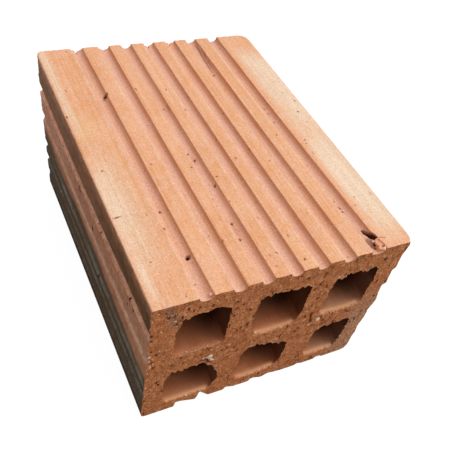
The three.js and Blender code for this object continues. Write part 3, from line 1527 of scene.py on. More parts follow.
class Groups:
    """Shader node groups that several finishes share."""

    @staticmethod
    def start(name: str, inputs: dict[str, float | None], outputs: Sequence[str]) -> tuple:
        """Starts a group.

        Args:
            name: Name of the group.
            inputs: Inputs and their defaults, None for a vector.
            outputs: Names of the values it puts out.

        Returns:
            The tree, its graph, its inputs and its outputs.
        """
        tree = bpy.data.node_groups.new(name, "ShaderNodeTree")
        for label, default in inputs.items():
            kind = "NodeSocketVector" if default is None else "NodeSocketFloat"
            socket = tree.interface.new_socket(name=label, in_out="INPUT", socket_type=kind)
            if default is not None:
                socket.default_value = default
        for label in outputs:
            tree.interface.new_socket(name=label, in_out="OUTPUT", socket_type="NodeSocketFloat")
        graph = Graph(tree)
        return tree, graph, graph.add("NodeGroupInput").outputs, graph.add("NodeGroupOutput").inputs

    @classmethod
    def grain(cls) -> Tree:
        """Builds the mottling and fine grain of fired clay.

        Returns:
            The group.
        """
        tree, g, given, out = cls.start(
            "clay_grain", {"Place": None, "Patch": 20.0, "Grain": 0.8}, ("Mottle", "Grain", "Height"))
        mottle = g.noise(given["Place"], g.over(1.0, given["Patch"]), 4.0, 0.6, 0.4)
        grain = g.noise(given["Place"], g.over(1.0, given["Grain"]), 3.0, 0.65)
        g.feed(out["Mottle"], g.ramp(mottle, 0.32, 0.68))
        g.feed(out["Grain"], g.ramp(grain, 0.25, 0.75))
        g.feed(out["Height"], grain)
        return tree

    @classmethod
    def dots(cls) -> Tree:
        """Builds scattered round dots, such as pores or pale specks.

        Returns:
            The group.
        """
        tree, g, given, out = cls.start(
            "scattered_dots", {"Place": None, "Spacing": 4.0, "Share": 0.3, "Size": 0.2}, ("Dots",))
        scale = g.over(1.0, given["Spacing"])
        cells = g.add("ShaderNodeTexVoronoi", {"Vector": given["Place"], "Scale": scale})
        split = g.add("ShaderNodeSeparateColor", {"Color": cells.outputs["Color"]}).outputs
        chosen = g.math("LESS_THAN", split["Red"], given["Share"])
        radius = g.times(given["Size"], g.total(g.times(split["Green"], 0.8), 0.4))
        wobble = g.math("SUBTRACT", g.noise(given["Place"], g.times(scale, 5.0), 1.0), 0.5)
        away = g.total(cells.outputs["Distance"], g.times(wobble, 0.7))
        g.feed(out["Dots"], g.times(chosen, g.ramp(g.over(away, radius), 1.15, 0.75)))
        return tree

    @classmethod
    def streaks(cls) -> Tree:
        """Builds the fine lines that the die leaves along the length.

        Returns:
            The group.
        """
        tree, g, given, out = cls.start("drawn_streaks", {"Place": None, "Width": 0.8}, ("Streaks",))
        scale = g.over(1.0, given["Width"])
        along = g.stretched(given["Place"], (1.0, 0.012, 1.0))
        fine = g.noise(along, scale, 2.0, 0.6)
        broad = g.noise(along, g.times(scale, 0.22), 2.0, 0.5)
        g.feed(out["Streaks"], g.ramp(g.total(g.times(fine, 0.6), g.times(broad, 0.4)), 0.34, 0.66))
        return tree


@dataclass(frozen=True)
class Tones:
    """Colours of the fired clay, linear, with the tones of painted shade among them."""

    crest: Colour = (0.870, 0.440, 0.235, 1.0)
    warm: Colour = (0.820, 0.375, 0.170, 1.0)
    rose: Colour = (0.840, 0.475, 0.320, 1.0)
    lilac: Colour = (0.780, 0.450, 0.340, 1.0)
    ochre: Colour = (0.840, 0.520, 0.260, 1.0)
    flushed: Colour = (1.000, 0.480, 0.310, 1.0)
    bloom: Colour = (0.880, 0.660, 0.480, 1.0)
    shade: Colour = (0.830, 0.740, 0.710, 1.0)
    ruddy: Colour = (0.760, 0.300, 0.160, 1.0)
    scorched_and_shaded: Colour = (0.300, 0.122, 0.048, 1.0)
    burnt: Colour = (0.180, 0.100, 0.046, 1.0)
    deep_grey: Colour = (0.110, 0.068, 0.038, 1.0)
    ash: Colour = (0.285, 0.228, 0.175, 1.0)
    raw: Colour = (0.740, 0.262, 0.098, 1.0)
    raw_dark: Colour = (0.400, 0.118, 0.038, 1.0)
    raw_grey: Colour = (0.620, 0.330, 0.195, 1.0)
    pore: Colour = (0.060, 0.014, 0.006, 1.0)
    speck: Colour = (1.000, 0.560, 0.290, 1.0)
    grit: Colour = (1.000, 0.620, 0.400, 1.0)
    chalk: Colour = (1.000, 0.720, 0.540, 1.0)
    cell: Colour = (0.600, 0.205, 0.086, 1.0)


TONES = Tones()
WHITE: Colour = (1.0, 1.0, 1.0, 1.0)


@dataclass(frozen=True)
class Finish:
    """A finish of the fired clay.

    Attributes:
        name: Name of the material.
        roughness: Its roughness.
        gloss: Its specular level.
    """

    name: str
    roughness: float
    gloss: float = field(default=0.12, kw_only=True)

    def start(self) -> tuple[bpy.types.Material, Graph, bpy.types.Node, Socket]:
        """Starts the material.

        Returns:
            The material, its graph, its Principled node and the place in millimetres.
        """
        material = bpy.data.materials.new(self.name)
        material.use_nodes = True
        graph = Graph(material.node_tree)
        shader = next(n for n in graph.tree.nodes if n.type == "BSDF_PRINCIPLED")
        shader.inputs["Roughness"].default_value = self.roughness
        shader.inputs["Specular IOR Level"].default_value = self.gloss
        where = graph.add("ShaderNodeTexCoord").outputs["Object"]
        return material, graph, shader, graph.stretched(where, (1 / MM,) * 3)

    def bump(self, graph: Graph, shader: bpy.types.Node, height: Socket, depth: float) -> None:
        """Feeds relief, which is a share of the depth in millimetres, to the shader's normal."""
        node = graph.add("ShaderNodeBump", {"Height": height, "Distance": depth * MM,
                                            "Strength": 1.0})
        graph.feed(shader.inputs["Normal"], node.outputs["Normal"])


@dataclass(frozen=True)
class DrawnSkin(Finish):
    """Smooth outer faces: drawn streaks, bloom, firing marks and open pores."""

    def drawn_clay(self, g: Graph, place: Socket, mottle: Socket, lines: Socket) -> Socket:
        """Colours the clay as the die and the kiln left it, dusty in the grooves, with a painted highlight
        along their left lips.

        Args:
            g: The material's graph.
            place: The place in millimetres.
            mottle: Broad mottling.
            lines: Streaks along the length.

        Returns:
            The colour.
        """
        colour = g.mix(mottle, TONES.crest, TONES.warm)
        blotch = g.ramp(g.noise(place, 0.16, 4.0, 0.65), 0.42, 0.68)
        colour = g.lay(colour, TONES.rose, blotch, 0.55)
        colour = g.lay(colour, TONES.rose, lines, 0.35)
        dusty = g.ramp(g.noise(g.stretched(place, (1.0, 0.25, 1.0)), 0.12, 3.0, 0.6), 0.3, 0.6, 0.5)
        colour = g.lay(colour, TONES.lilac, g.times(g.mask("hollow"), dusty), 0.8)
        # Painted highlight along the left lips of the grooves, broken up by chalky noise.
        chalky = g.ramp(g.noise(g.stretched(place, (1.0, 0.3, 1.0)), 0.35, 4.0, 0.7), 0.40, 0.62)
        colour = g.lay(colour, TONES.bloom, g.times(g.mask("wear_and_painted_highlight"), chalky), 0.8)
        stained = g.ramp(g.noise(place, 0.12, 4.0, 0.6), 0.3, 0.6)
        return g.mix(g.times(g.mask("ochre"), stained), colour, TONES.ochre)

    def side_clay(self, g: Graph, colour: Socket, mottle: Socket, pale: Socket) -> Socket:
        """Reddens the side faces, and pales the ledges of their grooves, partly as dust and partly as
        painted light where they face up.

        Args:
            g: The material's graph.
            colour: The colour so far.
            mottle: Broad mottling.
            pale: The bloom.

        Returns:
            The colour.
        """
        side = g.mask("side")
        ledge = g.times(side, g.mask("hollow"))
        colour = g.lay(colour, g.lay(TONES.ruddy, TONES.crest, mottle, 0.5), side, 0.85)
        # Painted light, partly dust: the ledges of the left grooves take paler lilac, bloom and flushed
        # tones.
        for tone, share in ((TONES.lilac, 0.6), (TONES.bloom, 0.62), (TONES.flushed, 0.4)):
            colour = g.lay(colour, tone, ledge, share)
        return g.mix(g.times(side, pale), colour, TONES.flushed)

    def firing_marks(self, g: Graph, place: Socket, colour: Socket) -> Socket:
        """Lays the darker brown, partly painted shade, and the dark grey over the clay.

        Args:
            g: The material's graph.
            place: The place in millimetres.
            colour: The colour so far.

        Returns:
            The colour.
        """
        # Darker brown on the upper band of the left face: partly firing colour, partly painted shade.
        burnt = g.ramp(g.noise(g.stretched(place, (1.0, 0.8, 1.3)), 0.10, 4.0, 0.65), 0.42, 0.58)
        brown = g.mix(burnt, TONES.scorched_and_shaded, TONES.burnt)
        colour = g.lay(colour, brown, g.mask("scorch_and_shade"), 0.95)
        # Dark grey low on the left face and in a streak on the front, with paler lines.
        grey_noise = g.noise(g.stretched(place, (1.0, 0.06, 1.0)), 0.28, 4.0, 0.6)
        pale = g.times(g.ramp(grey_noise, 0.3, 0.6, 0.5), g.mask("ash"))
        dark = g.mix(pale, TONES.deep_grey, TONES.ash)
        brownish = g.noise(g.stretched(place, (1.0, 0.2, 1.0)), 0.09, 4.0, 0.6)
        dark = g.mix(g.ramp(brownish, 0.42, 0.60, 0.0, 0.6), dark, TONES.burnt)
        return g.mix(g.times(g.mask("grey_marks"), g.ramp(grey_noise, 0.1, 0.45, 0.8)), colour, dark)

    def tooth(self, g: Graph, place: Socket, grain: Socket, fine: Socket, lines: Socket) -> Socket:
        """Gives the light and dark of the fine texture, stronger on the side faces.

        Args:
            g: The material's graph.
            place: The place in millimetres.
            grain: Grain of the clay.
            fine: Finer grain.
            lines: Streaks along the length.

        Returns:
            A level about 1.
        """
        wear_and_painted_highlight = g.noise(g.stretched(place, (1.0, 0.6, 1.0)), 0.42, 4.0, 0.7)
        wear_and_painted_highlight = g.times(g.math("SUBTRACT", wear_and_painted_highlight, 0.5), 1.2)
        level = g.total(g.times(grain, 0.20), g.times(fine, 0.62), g.times(lines, 0.10), 0.54,
                        g.times(g.mask("side"), wear_and_painted_highlight))
        return g.math("MAXIMUM", level, 0.2)

    def build(self, grain: Tree, dots: Tree,
              streaks: Tree) -> bpy.types.Material:
        """Wires the finish.

        Args:
            grain: The shared grain.
            dots: The shared dots.
            streaks: The shared streaks.

        Returns:
            The material.
        """
        material, g, shader, place = self.start()
        clay = g.group(grain, Place=place, Patch=26.0, Grain=0.7).outputs
        lines = g.group(streaks, Place=place, Width=1.0).outputs["Streaks"]
        fine = g.noise(place, 1.5, 3.0, 0.7)
        patches = g.ramp(g.noise(place, 0.055, 5.0, 0.6, 1.2), 0.18, 0.46)
        pale = g.times(g.mask("bloom"), patches, clamp=True)
        specks = g.group(dots, Place=place, Spacing=3.2, Share=0.3, Size=0.11).outputs["Dots"]
        pores = g.group(dots, Place=g.stretched(place, (1.0, 0.6, 1.0)), Spacing=3.4, Share=0.2,
                        Size=0.11).outputs["Dots"]

        colour = self.drawn_clay(g, place, clay["Mottle"], lines)
        colour = g.mix(pale, colour, TONES.bloom)
        colour = self.side_clay(g, colour, clay["Mottle"], pale)
        # Painted shade on the right sides of the grooves, multiplied in with the shade tone.
        colour = g.mix(g.mask("painted_shade"), colour, TONES.shade, "MULTIPLY")
        colour = self.firing_marks(g, place, colour)
        tooth = self.tooth(g, place, clay["Grain"], fine, lines)
        colour = g.mix(1.0, colour, g.tinted(tooth, (1.0, 1.35, 1.7)), "MULTIPLY")
        colour = g.lay(colour, TONES.bloom, specks, 0.5)
        # Painted shade: the open pores are painted dark.
        colour = g.lay(colour, TONES.raw_dark, pores, 0.7)
        # Painted shade in the dents, pits and tears.
        g.feed(shader.inputs["Base Color"], g.mix(g.mask("torn"), colour, TONES.pore))
        height = g.total(g.times(clay["Height"], 0.4), g.times(lines, 0.4), g.times(fine, 0.3),
                         g.times(pores, -1.4))
        self.bump(g, shader, height, 0.22)
        return material


@dataclass(frozen=True)
class WireCut(Finish):
    """Cut ends: raw clay that the wire tore, with pits, drag marks and grit."""

    def raw_clay(self, g: Graph, mottle: Socket, drag: Socket, crumbs: Socket) -> Socket:
        """Colours the torn clay under its pits and specks.

        Args:
            g: The material's graph.
            mottle: Broad mottling.
            drag: Marks of the wire.
            crumbs: Coarse crumbs.

        Returns:
            The colour.
        """
        colour = g.lay(TONES.raw, TONES.raw_dark, mottle, 0.45)
        colour = g.mix(g.ramp(drag, 0.58, 0.70, 0.0, 0.7), colour, TONES.raw_dark)
        colour = g.mix(g.ramp(drag, 0.42, 0.2, 0.0, 0.3), colour, TONES.warm)
        colour = g.lay(colour, TONES.ash, g.mask("grey_marks"), 0.8)
        colour = g.lay(colour, TONES.raw_grey, g.mask("bloom"), 0.8)
        colour = g.mix(g.ramp(crumbs, 0.54, 0.70, 0.0, 0.45), colour, TONES.speck)
        colour = g.mix(g.ramp(crumbs, 0.46, 0.32, 0.0, 0.65), colour, TONES.raw_dark)
        # Painted highlight: the lips of the cells take the pale crest tone.
        return g.lay(colour, TONES.crest, g.mask("bead"), 0.75)

    def build(self, grain: Tree, dots: Tree) -> bpy.types.Material:
        """Wires the finish.

        Args:
            grain: The shared grain.
            dots: The shared dots.

        Returns:
            The material.
        """
        material, g, shader, place = self.start()
        clay = g.group(grain, Place=place, Patch=5.0, Grain=0.8).outputs
        drag = g.noise(g.stretched(place, (1.0, 1.0, 0.16)), 1.3, 3.0, 0.65)
        crumbs = g.noise(g.stretched(place, (1.0, 1.0, 0.65)), 0.5, 3.0, 0.6)
        fine = g.noise(g.stretched(place, (1.0, 1.0, 0.7)), 1.2, 3.0, 0.7)
        crowded = g.ramp(g.noise(place, 0.12, 2.0), 0.42, 0.64, 0.08, 0.6)
        pits = g.group(dots, Place=g.stretched(place, (1.0, 1.0, 0.55)), Spacing=2.3, Share=crowded,
                       Size=0.26).outputs["Dots"]
        specks = g.group(dots, Place=g.stretched(place, (1.03, 1.0, 0.97)), Spacing=3.2, Share=0.42,
                         Size=0.20).outputs["Dots"]

        colour = self.raw_clay(g, clay["Mottle"], drag, crumbs)
        tooth = g.total(g.times(clay["Grain"], 0.35), g.times(fine, 1.50), 0.07)
        colour = g.mix(1.0, colour, g.tinted(tooth, (1.0, 1.6, 2.3)), "MULTIPLY")
        # Painted shade: the pits are painted near black.
        colour = g.lay(colour, TONES.pore, pits, 0.85)
        colour = g.lay(colour, TONES.grit, specks, 0.85)
        # Painted shade in the dents, pits and tears.
        g.feed(shader.inputs["Base Color"], g.mix(g.mask("torn"), colour, TONES.pore))
        height = g.total(g.times(fine, 0.5), g.times(pits, -1.0), g.times(drag, 0.6),
                         g.times(crumbs, 1.2))
        self.bump(g, shader, height, 0.8)
        return material


@dataclass(frozen=True)
class CellWall(Finish):
    """Walls of the cells: smooth, streaked along the length, with painted shade deeper in and up their
    right sides, and a painted highlight on their lips.
    """

    def build(self, grain: Tree, streaks: Tree) -> bpy.types.Material:
        """Wires the finish.

        Args:
            grain: The shared grain.
            streaks: The shared streaks.

        Returns:
            The material.
        """
        material, g, shader, place = self.start()
        clay = g.group(grain, Place=place, Patch=14.0, Grain=0.9).outputs
        lines = g.group(streaks, Place=place, Width=1.6).outputs["Streaks"]
        colour = g.lay(TONES.cell, TONES.raw_dark, clay["Mottle"], 0.5)
        colour = g.lay(colour, TONES.raw_grey, lines, 0.12)
        colour = g.mix(g.mask("bloom"), colour, TONES.raw_grey)
        # Painted shade: the cells darken towards the pore tone deeper in and up their right sides.
        colour = g.mix(g.mask("painted_shade"), colour, TONES.pore)
        # Painted highlight: the lips of the cells take the pale crest tone.
        colour = g.lay(colour, TONES.crest, g.mask("bead"), 0.75)
        g.feed(shader.inputs["Base Color"], colour)
        self.bump(g, shader, g.total(clay["Height"], g.times(lines, 0.5)), 0.25)
        return material


@dataclass(frozen=True)
class LooseClay(Finish):
    """Grains and torn flakes, mottled between two tones.

    Attributes:
        light: The paler tone.
        dark: The deeper tone.
    """

    light: Colour
    dark: Colour

    def build(self, grain: Tree) -> bpy.types.Material:
        """Wires the finish.

        Args:
            grain: The shared grain.

        Returns:
            The material.
        """
        material, g, shader, place = self.start()
        clay = g.group(grain, Place=place, Patch=2.5, Grain=0.4).outputs
        g.feed(shader.inputs["Base Color"], g.mix(clay["Mottle"], self.light, self.dark))
        self.bump(g, shader, clay["Height"], 0.12)
        return material


# ---- studio


@dataclass(frozen=True)
class Studio:
    """Camera, floor and lights.

    The camera's place, its sensor and the floor's drop under the bed face are in millimetres, and
    the floor and the lamp in metres. The camera looks straight at the pixel `centre`, counted from
    the top left. The sky rises from its low level to the high one beside the lamp, and the floor
    shows the camera its glow beyond the light that it gives back.
    """

    image_side: float = 450.0
    camera_place: Place = (-121.1, -211.2, 279.8)
    camera_turn: Place = (37.541, -9.100, -24.637)
    focal_pixels: float = 554.99
    centre: tuple[float, float] = (222.86, 293.49)
    sensor_width: float = 36.0
    floor_side: float = 6.0
    floor_drop: float = 0.1
    key_power: float = 4.0
    key_place: Place = (0.60, -0.30, 1.25)
    key_size: float = 0.8
    key_colour: Place = (1.0, 0.98, 0.95)
    sky_low: float = 0.20
    sky_high: float = 1.30
    sky_colour: Colour = (0.98, 0.99, 1.0, 1.0)
    floor_albedo: float = 0.18
    floor_glow: float = 0.92

    def camera(self) -> None:
        """Places the camera and makes it the scene's own."""
        data = bpy.data.cameras.new("view_camera")
        data.sensor_width = self.sensor_width
        data.lens = self.sensor_width * self.focal_pixels / self.image_side
        half = self.image_side / 2
        data.shift_x = (half - self.centre[0]) / self.image_side
        data.shift_y = (self.centre[1] - half) / self.image_side
        data.clip_start = 0.01
        obj = bpy.data.objects.new("view_camera", data)
        obj.location = Vector(self.camera_place) * MM
        obj.rotation_euler = Euler([math.radians(turn) for turn in self.camera_turn])
        bpy.context.scene.collection.objects.link(obj)
        bpy.context.scene.camera = obj

    def floor(self) -> None:
        """Lays a plain floor that shows white to the camera and keeps the object's shadow."""
        bm = bmesh.new()
        bmesh.ops.create_grid(bm, x_segments=1, y_segments=1, size=self.floor_side / 2)
        bmesh.ops.translate(bm, verts=bm.verts, vec=(0.0, 0.0, -self.floor_drop * MM))
        mesh = bpy.data.meshes.new("studio_floor")
        bm.to_mesh(mesh)
        bm.free()
        floor = link_piece("studio_floor", mesh)
        material = bpy.data.materials.new("pale_floor")
        material.use_nodes = True
        g = Graph(material.node_tree)
        g.tree.nodes.clear()
        seen = g.add("ShaderNodeLightPath").outputs["Is Camera Ray"]
        grey = (self.floor_albedo, self.floor_albedo, self.floor_albedo, 1.0)
        diffuse = g.add("ShaderNodeBsdfDiffuse", {"Color": grey})
        glow = g.add("ShaderNodeEmission", {"Color": WHITE, "Strength": g.times(seen, self.floor_glow)})
        both = g.add("ShaderNodeAddShader", {0: diffuse.outputs[0], 1: glow.outputs[0]})
        g.add("ShaderNodeOutputMaterial", {"Surface": both.outputs[0]})
        mesh.materials.append(material)

    def lights(self) -> None:
        """Hangs one large soft lamp and sets the sky, brightest on the lamp's side."""
        data = bpy.data.lights.new("key_lamp", "AREA")
        data.energy = self.key_power
        data.size = self.key_size
        data.color = self.key_colour
        lamp = bpy.data.objects.new("key_lamp", data)
        lamp.location = Vector(self.key_place)
        lamp.rotation_euler = (-lamp.location).to_track_quat("-Z", "Y").to_euler()
        bpy.context.scene.collection.objects.link(lamp)
        world = bpy.data.worlds.new("studio_world")
        bpy.context.scene.world = world
        world.use_nodes = True
        g = Graph(world.node_tree)
        g.tree.nodes.clear()
        seen = g.add("ShaderNodeLightPath").outputs["Is Camera Ray"]
        way = g.add("ShaderNodeTexCoord").outputs["Generated"]
        bright = Vector(self.key_place).normalized()
        facing = g.add("ShaderNodeVectorMath", {0: way, 1: bright}, operation="DOT_PRODUCT")
        facing = g.math("MAXIMUM", facing.outputs["Value"], 0.0)
        level = g.total(g.times(facing, self.sky_high - self.sky_low), self.sky_low)
        around = g.add("ShaderNodeBackground", {"Color": self.sky_colour, "Strength": level})
        white = g.add("ShaderNodeBackground", {"Color": WHITE, "Strength": 1.0})
        pick = g.add("ShaderNodeMixShader", {0: seen, 1: around.outputs[0], 2: white.outputs[0]})
        g.add("ShaderNodeOutputWorld", {"Surface": pick.outputs[0]})

    def build(self) -> None:
        """Sets up the camera, the floor and the light."""
        self.camera()
        self.floor()
        self.lights()
        bpy.context.scene.view_settings.view_transform = "Standard"


# ---- the object's own numbers

# How far each side of each cell strays in the front end, by the share of the way along it. The
# lower row comes first, from the left.
CELL_WARPS = (
    Warp(left=((0, -1.2), (0.03, -1.7), (0.15, -2.7), (0.31, -3.2), (0.5, -2.9), (0.66, -2.3),
               (0.82, -1.3), (1, 0)),
         right=((0, -1.8), (0.1, -1.2), (0.23, -0.5), (0.33, 0.5), (0.41, 1.0), (0.52, 0.3), (0.65, -0.5),
                (0.73, -1.7), (0.8, -2.6), (1, -4)),
         floor=((0, -0.8), (0.1, -1.1), (0.9, -1.1), (1, -0.8)),
         roof=((0, -1.2), (0.06, -0.7), (0.2, -1.3), (0.34, -1.7), (0.5, -1.5), (0.65, -2.3), (0.74, -3.6),
               (0.82, -5.0), (0.92, -6.3), (1, -7))),
    Warp(left=((0, 0.8), (0.04, -1.3), (0.12, -3.0), (0.21, -4.0), (0.28, -3.8), (0.36, -2.3), (0.47, -1.3),
               (0.6, -0.7), (0.73, -0.5), (0.88, 1.8), (0.93, 2.8), (1, 3.4)),
         right=((0, -1.6), (0.12, -1.2), (0.25, -0.6), (0.55, 0.3), (0.68, 0.0), (0.8, -0.3), (1, -0.5)),
         floor=((0, -0.3), (0.2, -1.4), (0.45, -1.0), (0.8, 0.4), (1, 0.9)),
         roof=((0, 0.3), (0.16, 0.6), (0.19, 0.6), (0.24, -2.0), (0.43, -3.2), (0.61, -4.3), (0.73, -4.6),
               (0.8, -6.2), (0.86, -6.2), (0.89, -5.2), (0.96, -6.8), (1, -7.6))),
    Warp(left=((0, 4.6), (0.06, 4.2), (0.3, 3.8), (0.7, 4.0), (0.82, 4.4), (1, 5.0)),
         right=((0, -1.6), (0.12, -1.1), (0.25, -0.7), (0.5, -0.4), (0.79, 0.0), (1, -0.5)),
         floor=((0, 0.3), (0.25, -0.6), (0.5, -0.3), (0.75, -0.6), (1, 0.4)),
         roof=((0, -4.2), (0.2, -3.6), (0.3, -3.2), (0.6, -3.1), (0.8, -2.9), (0.95, -3.2), (1, -4))),
    Warp(left=((0, -0.4), (0.42, -0.2), (0.69, 0.4), (0.9, 1.5), (1, 2.0)),
         right=((0, -1.75), (1, -1.75)),
         floor=((0, 1.2), (0.2, 0.9), (0.3, 0.3), (0.42, 1.1), (0.6, 1.5), (0.7, 0.9),
                (0.85, 1.4), (1, 1.2)),
         roof=((0, -0.6), (0.08, -0.5), (0.27, -0.1), (0.46, 1.0), (0.6, 1.2), (0.71, 1.0), (0.79, 0.2),
               (0.92, -1.6), (1, -2.2)), bead=0.3),
    Warp(left=((0, 2.2), (0.07, 1.3), (0.2, 0.3), (0.34, -0.3), (0.55, -0.9), (0.74, -0.5),
               (0.9, -0.1), (1, 0)),
         right=((0, -0.9), (0.2, -0.3), (0.42, 0.2), (0.69, 0.5), (1, 0.4)),
         floor=((0, -0.2), (0.25, -1.3), (0.75, -1.3), (1, 0.2)),
         roof=((0, -1.2), (0.17, -1.0), (0.3, 0.2), (0.36, 0.3), (0.42, -0.8), (0.49, -1.7), (0.6, -2.3),
               (0.71, -1.8), (0.81, -1.2), (0.93, -2.0), (1, -2.6)), ragged=0.9),
    Warp(left=((0, 0.5), (0.28, 0.3), (0.53, 0.5), (0.74, 1.1), (0.85, 1.9), (1, 3.0)),
         right=((0, -0.4), (0.4, -0.7), (0.7, -0.5), (1, -0.6)),
         floor=((0, -0.6), (0.25, -0.8), (0.42, -1.9), (0.75, -1.7), (1, -0.2)),
         roof=((0, -0.4), (0.1, -0.5), (0.2, -1.2), (0.3, -1.3), (0.45, -1.5), (0.6, -2.6), (0.66, -3.2),
               (0.72, -1.0), (0.82, -1.0), (0.92, -2.4), (1, -3.6)), ragged=1.0),
)

# Planes of the top, the front end and the left face
TOP = 99.0
FRONT = -95.0
LEFT = -67.5
SOFT, SHARP, CUT = Falloff

# Dents in the top face; torn says how dark each is painted, as the shade in its hollow
TOP_DENTS = tuple(
    Dent((x, y, TOP), (wide, long, 9 if y < -80 else 8), finest, turn, push=(0, 0, lift), falloff=falloff,
         torn=torn)
    for x, y, wide, long, finest, turn, lift, falloff, torn in (
        # Tears and pits
        (-40.4, 48.8, 1.3, 1.7, 0.4, 0, -2.6, SHARP, 1.0),
        (-41.5, 46.9, 0.6, 1.9, 0.4, 35, -0.8, SOFT, 0.8),
        (-41.6, -71.1, 1.0, 1.4, 0.35, -20, -1.8, SHARP, 1.0),
        (-60.9, -10.5, 0.6, 0.6, 0.4, 0, -0.8, SHARP, 0.9),
        (-66.3, 33.0, 0.6, 0.9, 0.4, 0, -0.8, SHARP, 0.9),
        (-64.2, -41.8, 2.6, 0.35, 0.4, 6, -0.8, SHARP, 1.0),
        (60.9, 11.7, 0.8, 0.7, 0.4, 0, -0.9, SHARP, 0.9),
        # Rough strips beside the grooves
        (-14.0, -11.0, 1.2, 6.5, 0.6, 0, -0.5, SOFT, 0.15),
        (-14.3, -61.7, 1.2, 8.5, 0.6, 0, -0.5, SOFT, 0.15),
        (-11.5, 31.6, 0.4, 4.0, 0.6, 0, -0.4, SOFT, 0.35),
        # Double scratch down the sixth groove
        (30.5, 76.5, 0.5, 19.0, 0.45, -3.6, -0.5, SHARP, 0.36),
        (31.7, 76.5, 0.35, 16.0, 0.45, -3.6, -0.3, SHARP, 0.3),
        (29.4, 58.6, 0.7, 1.0, 0.4, 0, -0.8, SHARP, 0.7),
        (30.4, 56.6, 0.9, 1.0, 0.5, 0, 0.8, SOFT, 0.0),
        # Torn slot in the last groove, at the front
        (45.4, -82.8, 0.9, 3.9, 0.2, 14, -2.6, CUT, 1.0),
        (46.0, -85.2, 1.1, 2.6, 0.2, 14, -1.8, CUT, 1.0),
        (44.1, -88.6, 1.4, 4.8, 0.4, 6, -1.2, SHARP, 0.5),
        (45.3, -90.4, 0.4, 3.6, 0.3, -6, -1.6, SHARP, 1.0),
        (49.2, -88.0, 3.2, 0.4, 0.35, -14, -0.7, SHARP, 0.4),
        (47.6, -91.4, 0.3, 2.4, 0.3, -6, -0.8, SHARP, 0.7),
    )
) + (
    # The front right corner
    Dent((67.5, -95.0, TOP), (2.8, 2.8, 2.8), 0.5, push=(-0.5, 0.4, -0.7)),
) + tuple(
    # Small open pores
    Dent((x, y, TOP), (wide, long, 8), 0.45, falloff=SHARP, torn=0.9)
    for x, y, wide, long in (
        (-45.2, -52.1, 0.45, 1.1), (-43.0, -41.2, 0.5, 1.0), (50.9, -12.5, 0.45, 0.6),
        (50.1, -15.3, 0.4, 0.5), (6.7, -88.8, 0.65, 0.7), (-9.4, -28.0, 0.45, 0.6),
        (-19.0, -18.5, 0.4, 0.5), (-15.0, -5.8, 0.5, 0.9), (-13.4, -11.1, 0.5, 0.9),
        (-14.0, -57.2, 0.6, 1.0), (-14.8, -67.6, 0.6, 0.9), (-11.9, -32.4, 0.45, 0.9),
        (42.4, -57.5, 0.5, 0.9), (42.8, -62.8, 0.5, 0.9), (42.8, -65.3, 0.5, 0.9),
        (-58.7, -70.5, 0.4, 0.4), (-44.4, -85.7, 0.4, 0.5),
    )
)

# Bites out of the ledges of the left face, painted dark as the shade in them
SIDE_DENTS = tuple(
    Dent((LEFT, y, z), (6, long, high), 0.5, push=(0.3, 0, 0), falloff=CUT, torn=dark)
    for y, z, long, high, dark in (
        (-70.5, 75.2, 1.1, 1.2, 1.0), (-75.5, 73.6, 0.9, 1.2, 1.0), (-86.0, 75.2, 0.7, 0.9, 0.8),
        (-57.0, 39.2, 1.2, 2.4, 1.0), (-50.0, 38.2, 0.9, 1.8, 1.0), (-34.0, 38.4, 1.1, 1.8, 1.0),
        (-23.5, 37.6, 1.3, 2.1, 1.0), (-21.0, 33.0, 0.9, 1.8, 0.8), (9.5, 70.9, 1.3, 2.2, 1.0),
        (-13.0, 63.4, 1.3, 1.8, 1.0), (33.5, 71.5, 1.3, 1.2, 0.7), (74.0, 71.6, 1.1, 1.0, 0.6),
        (-26.5, 73.6, 0.8, 0.9, 0.7), (-68.0, 69.0, 0.7, 1.2, 0.7), (-63.0, 29.0, 0.8, 1.9, 0.8),
    )
)

# Cracks, holes and torn spots that the wire opened in the front end, painted dark as the shade in them
CUT_DENTS = tuple(
    Dent((x, FRONT, z), (wide, 5.0, high), 0.4, lean, True, push=(0, deep, 0), falloff=SHARP, torn=0.85)
    for x, z, wide, high, lean, deep in (
        (22.6, 54.7, 0.6, 5.4, -4, 2.2), (17.7, 91.2, 0.55, 2.8, 0, 1.5), (-16.6, 66.5, 0.6, 3.0, 4, 1.6),
        (4.1, 44.8, 0.6, 1.4, 40, 1.2), (-10.5, 90.1, 1.1, 0.8, 0, 1.4), (-1.8, 88.3, 0.9, 0.8, 0, 1.3),
        (1.6, 87.6, 0.8, 0.9, 0, 1.3), (-61.1, 94.4, 0.7, 0.9, 0, 1.1), (-61.0, 91.4, 0.6, 0.8, 0, 1.1),
        (-24.6, 84.7, 0.8, 1.3, 15, 1.4), (-26.8, 80.7, 0.7, 1.1, 0, 1.4), (-24.7, 78.4, 0.6, 1.2, 0, 1.2),
        (-53.5, 60.0, 1.0, 1.2, 0, 1.2), (-26.5, 32.5, 0.9, 2.0, 0, 1.3), (-18.6, 21.0, 1.0, 1.0, 0, 1.4),
        (23.5, 74.8, 0.8, 1.0, 0, 1.3), (24.7, 37.7, 1.0, 0.9, 0, 1.4), (-64.8, 56.2, 1.3, 1.7, 20, 1.8),
        (-63.6, 51.5, 0.9, 1.3, 0, 1.4), (-62.8, 62.2, 0.8, 1.5, 0, 1.3), (-29.5, 44.6, 1.5, 1.2, 20, 1.8),
        (-27.4, 41.4, 1.2, 1.5, 0, 1.8),
    )
)

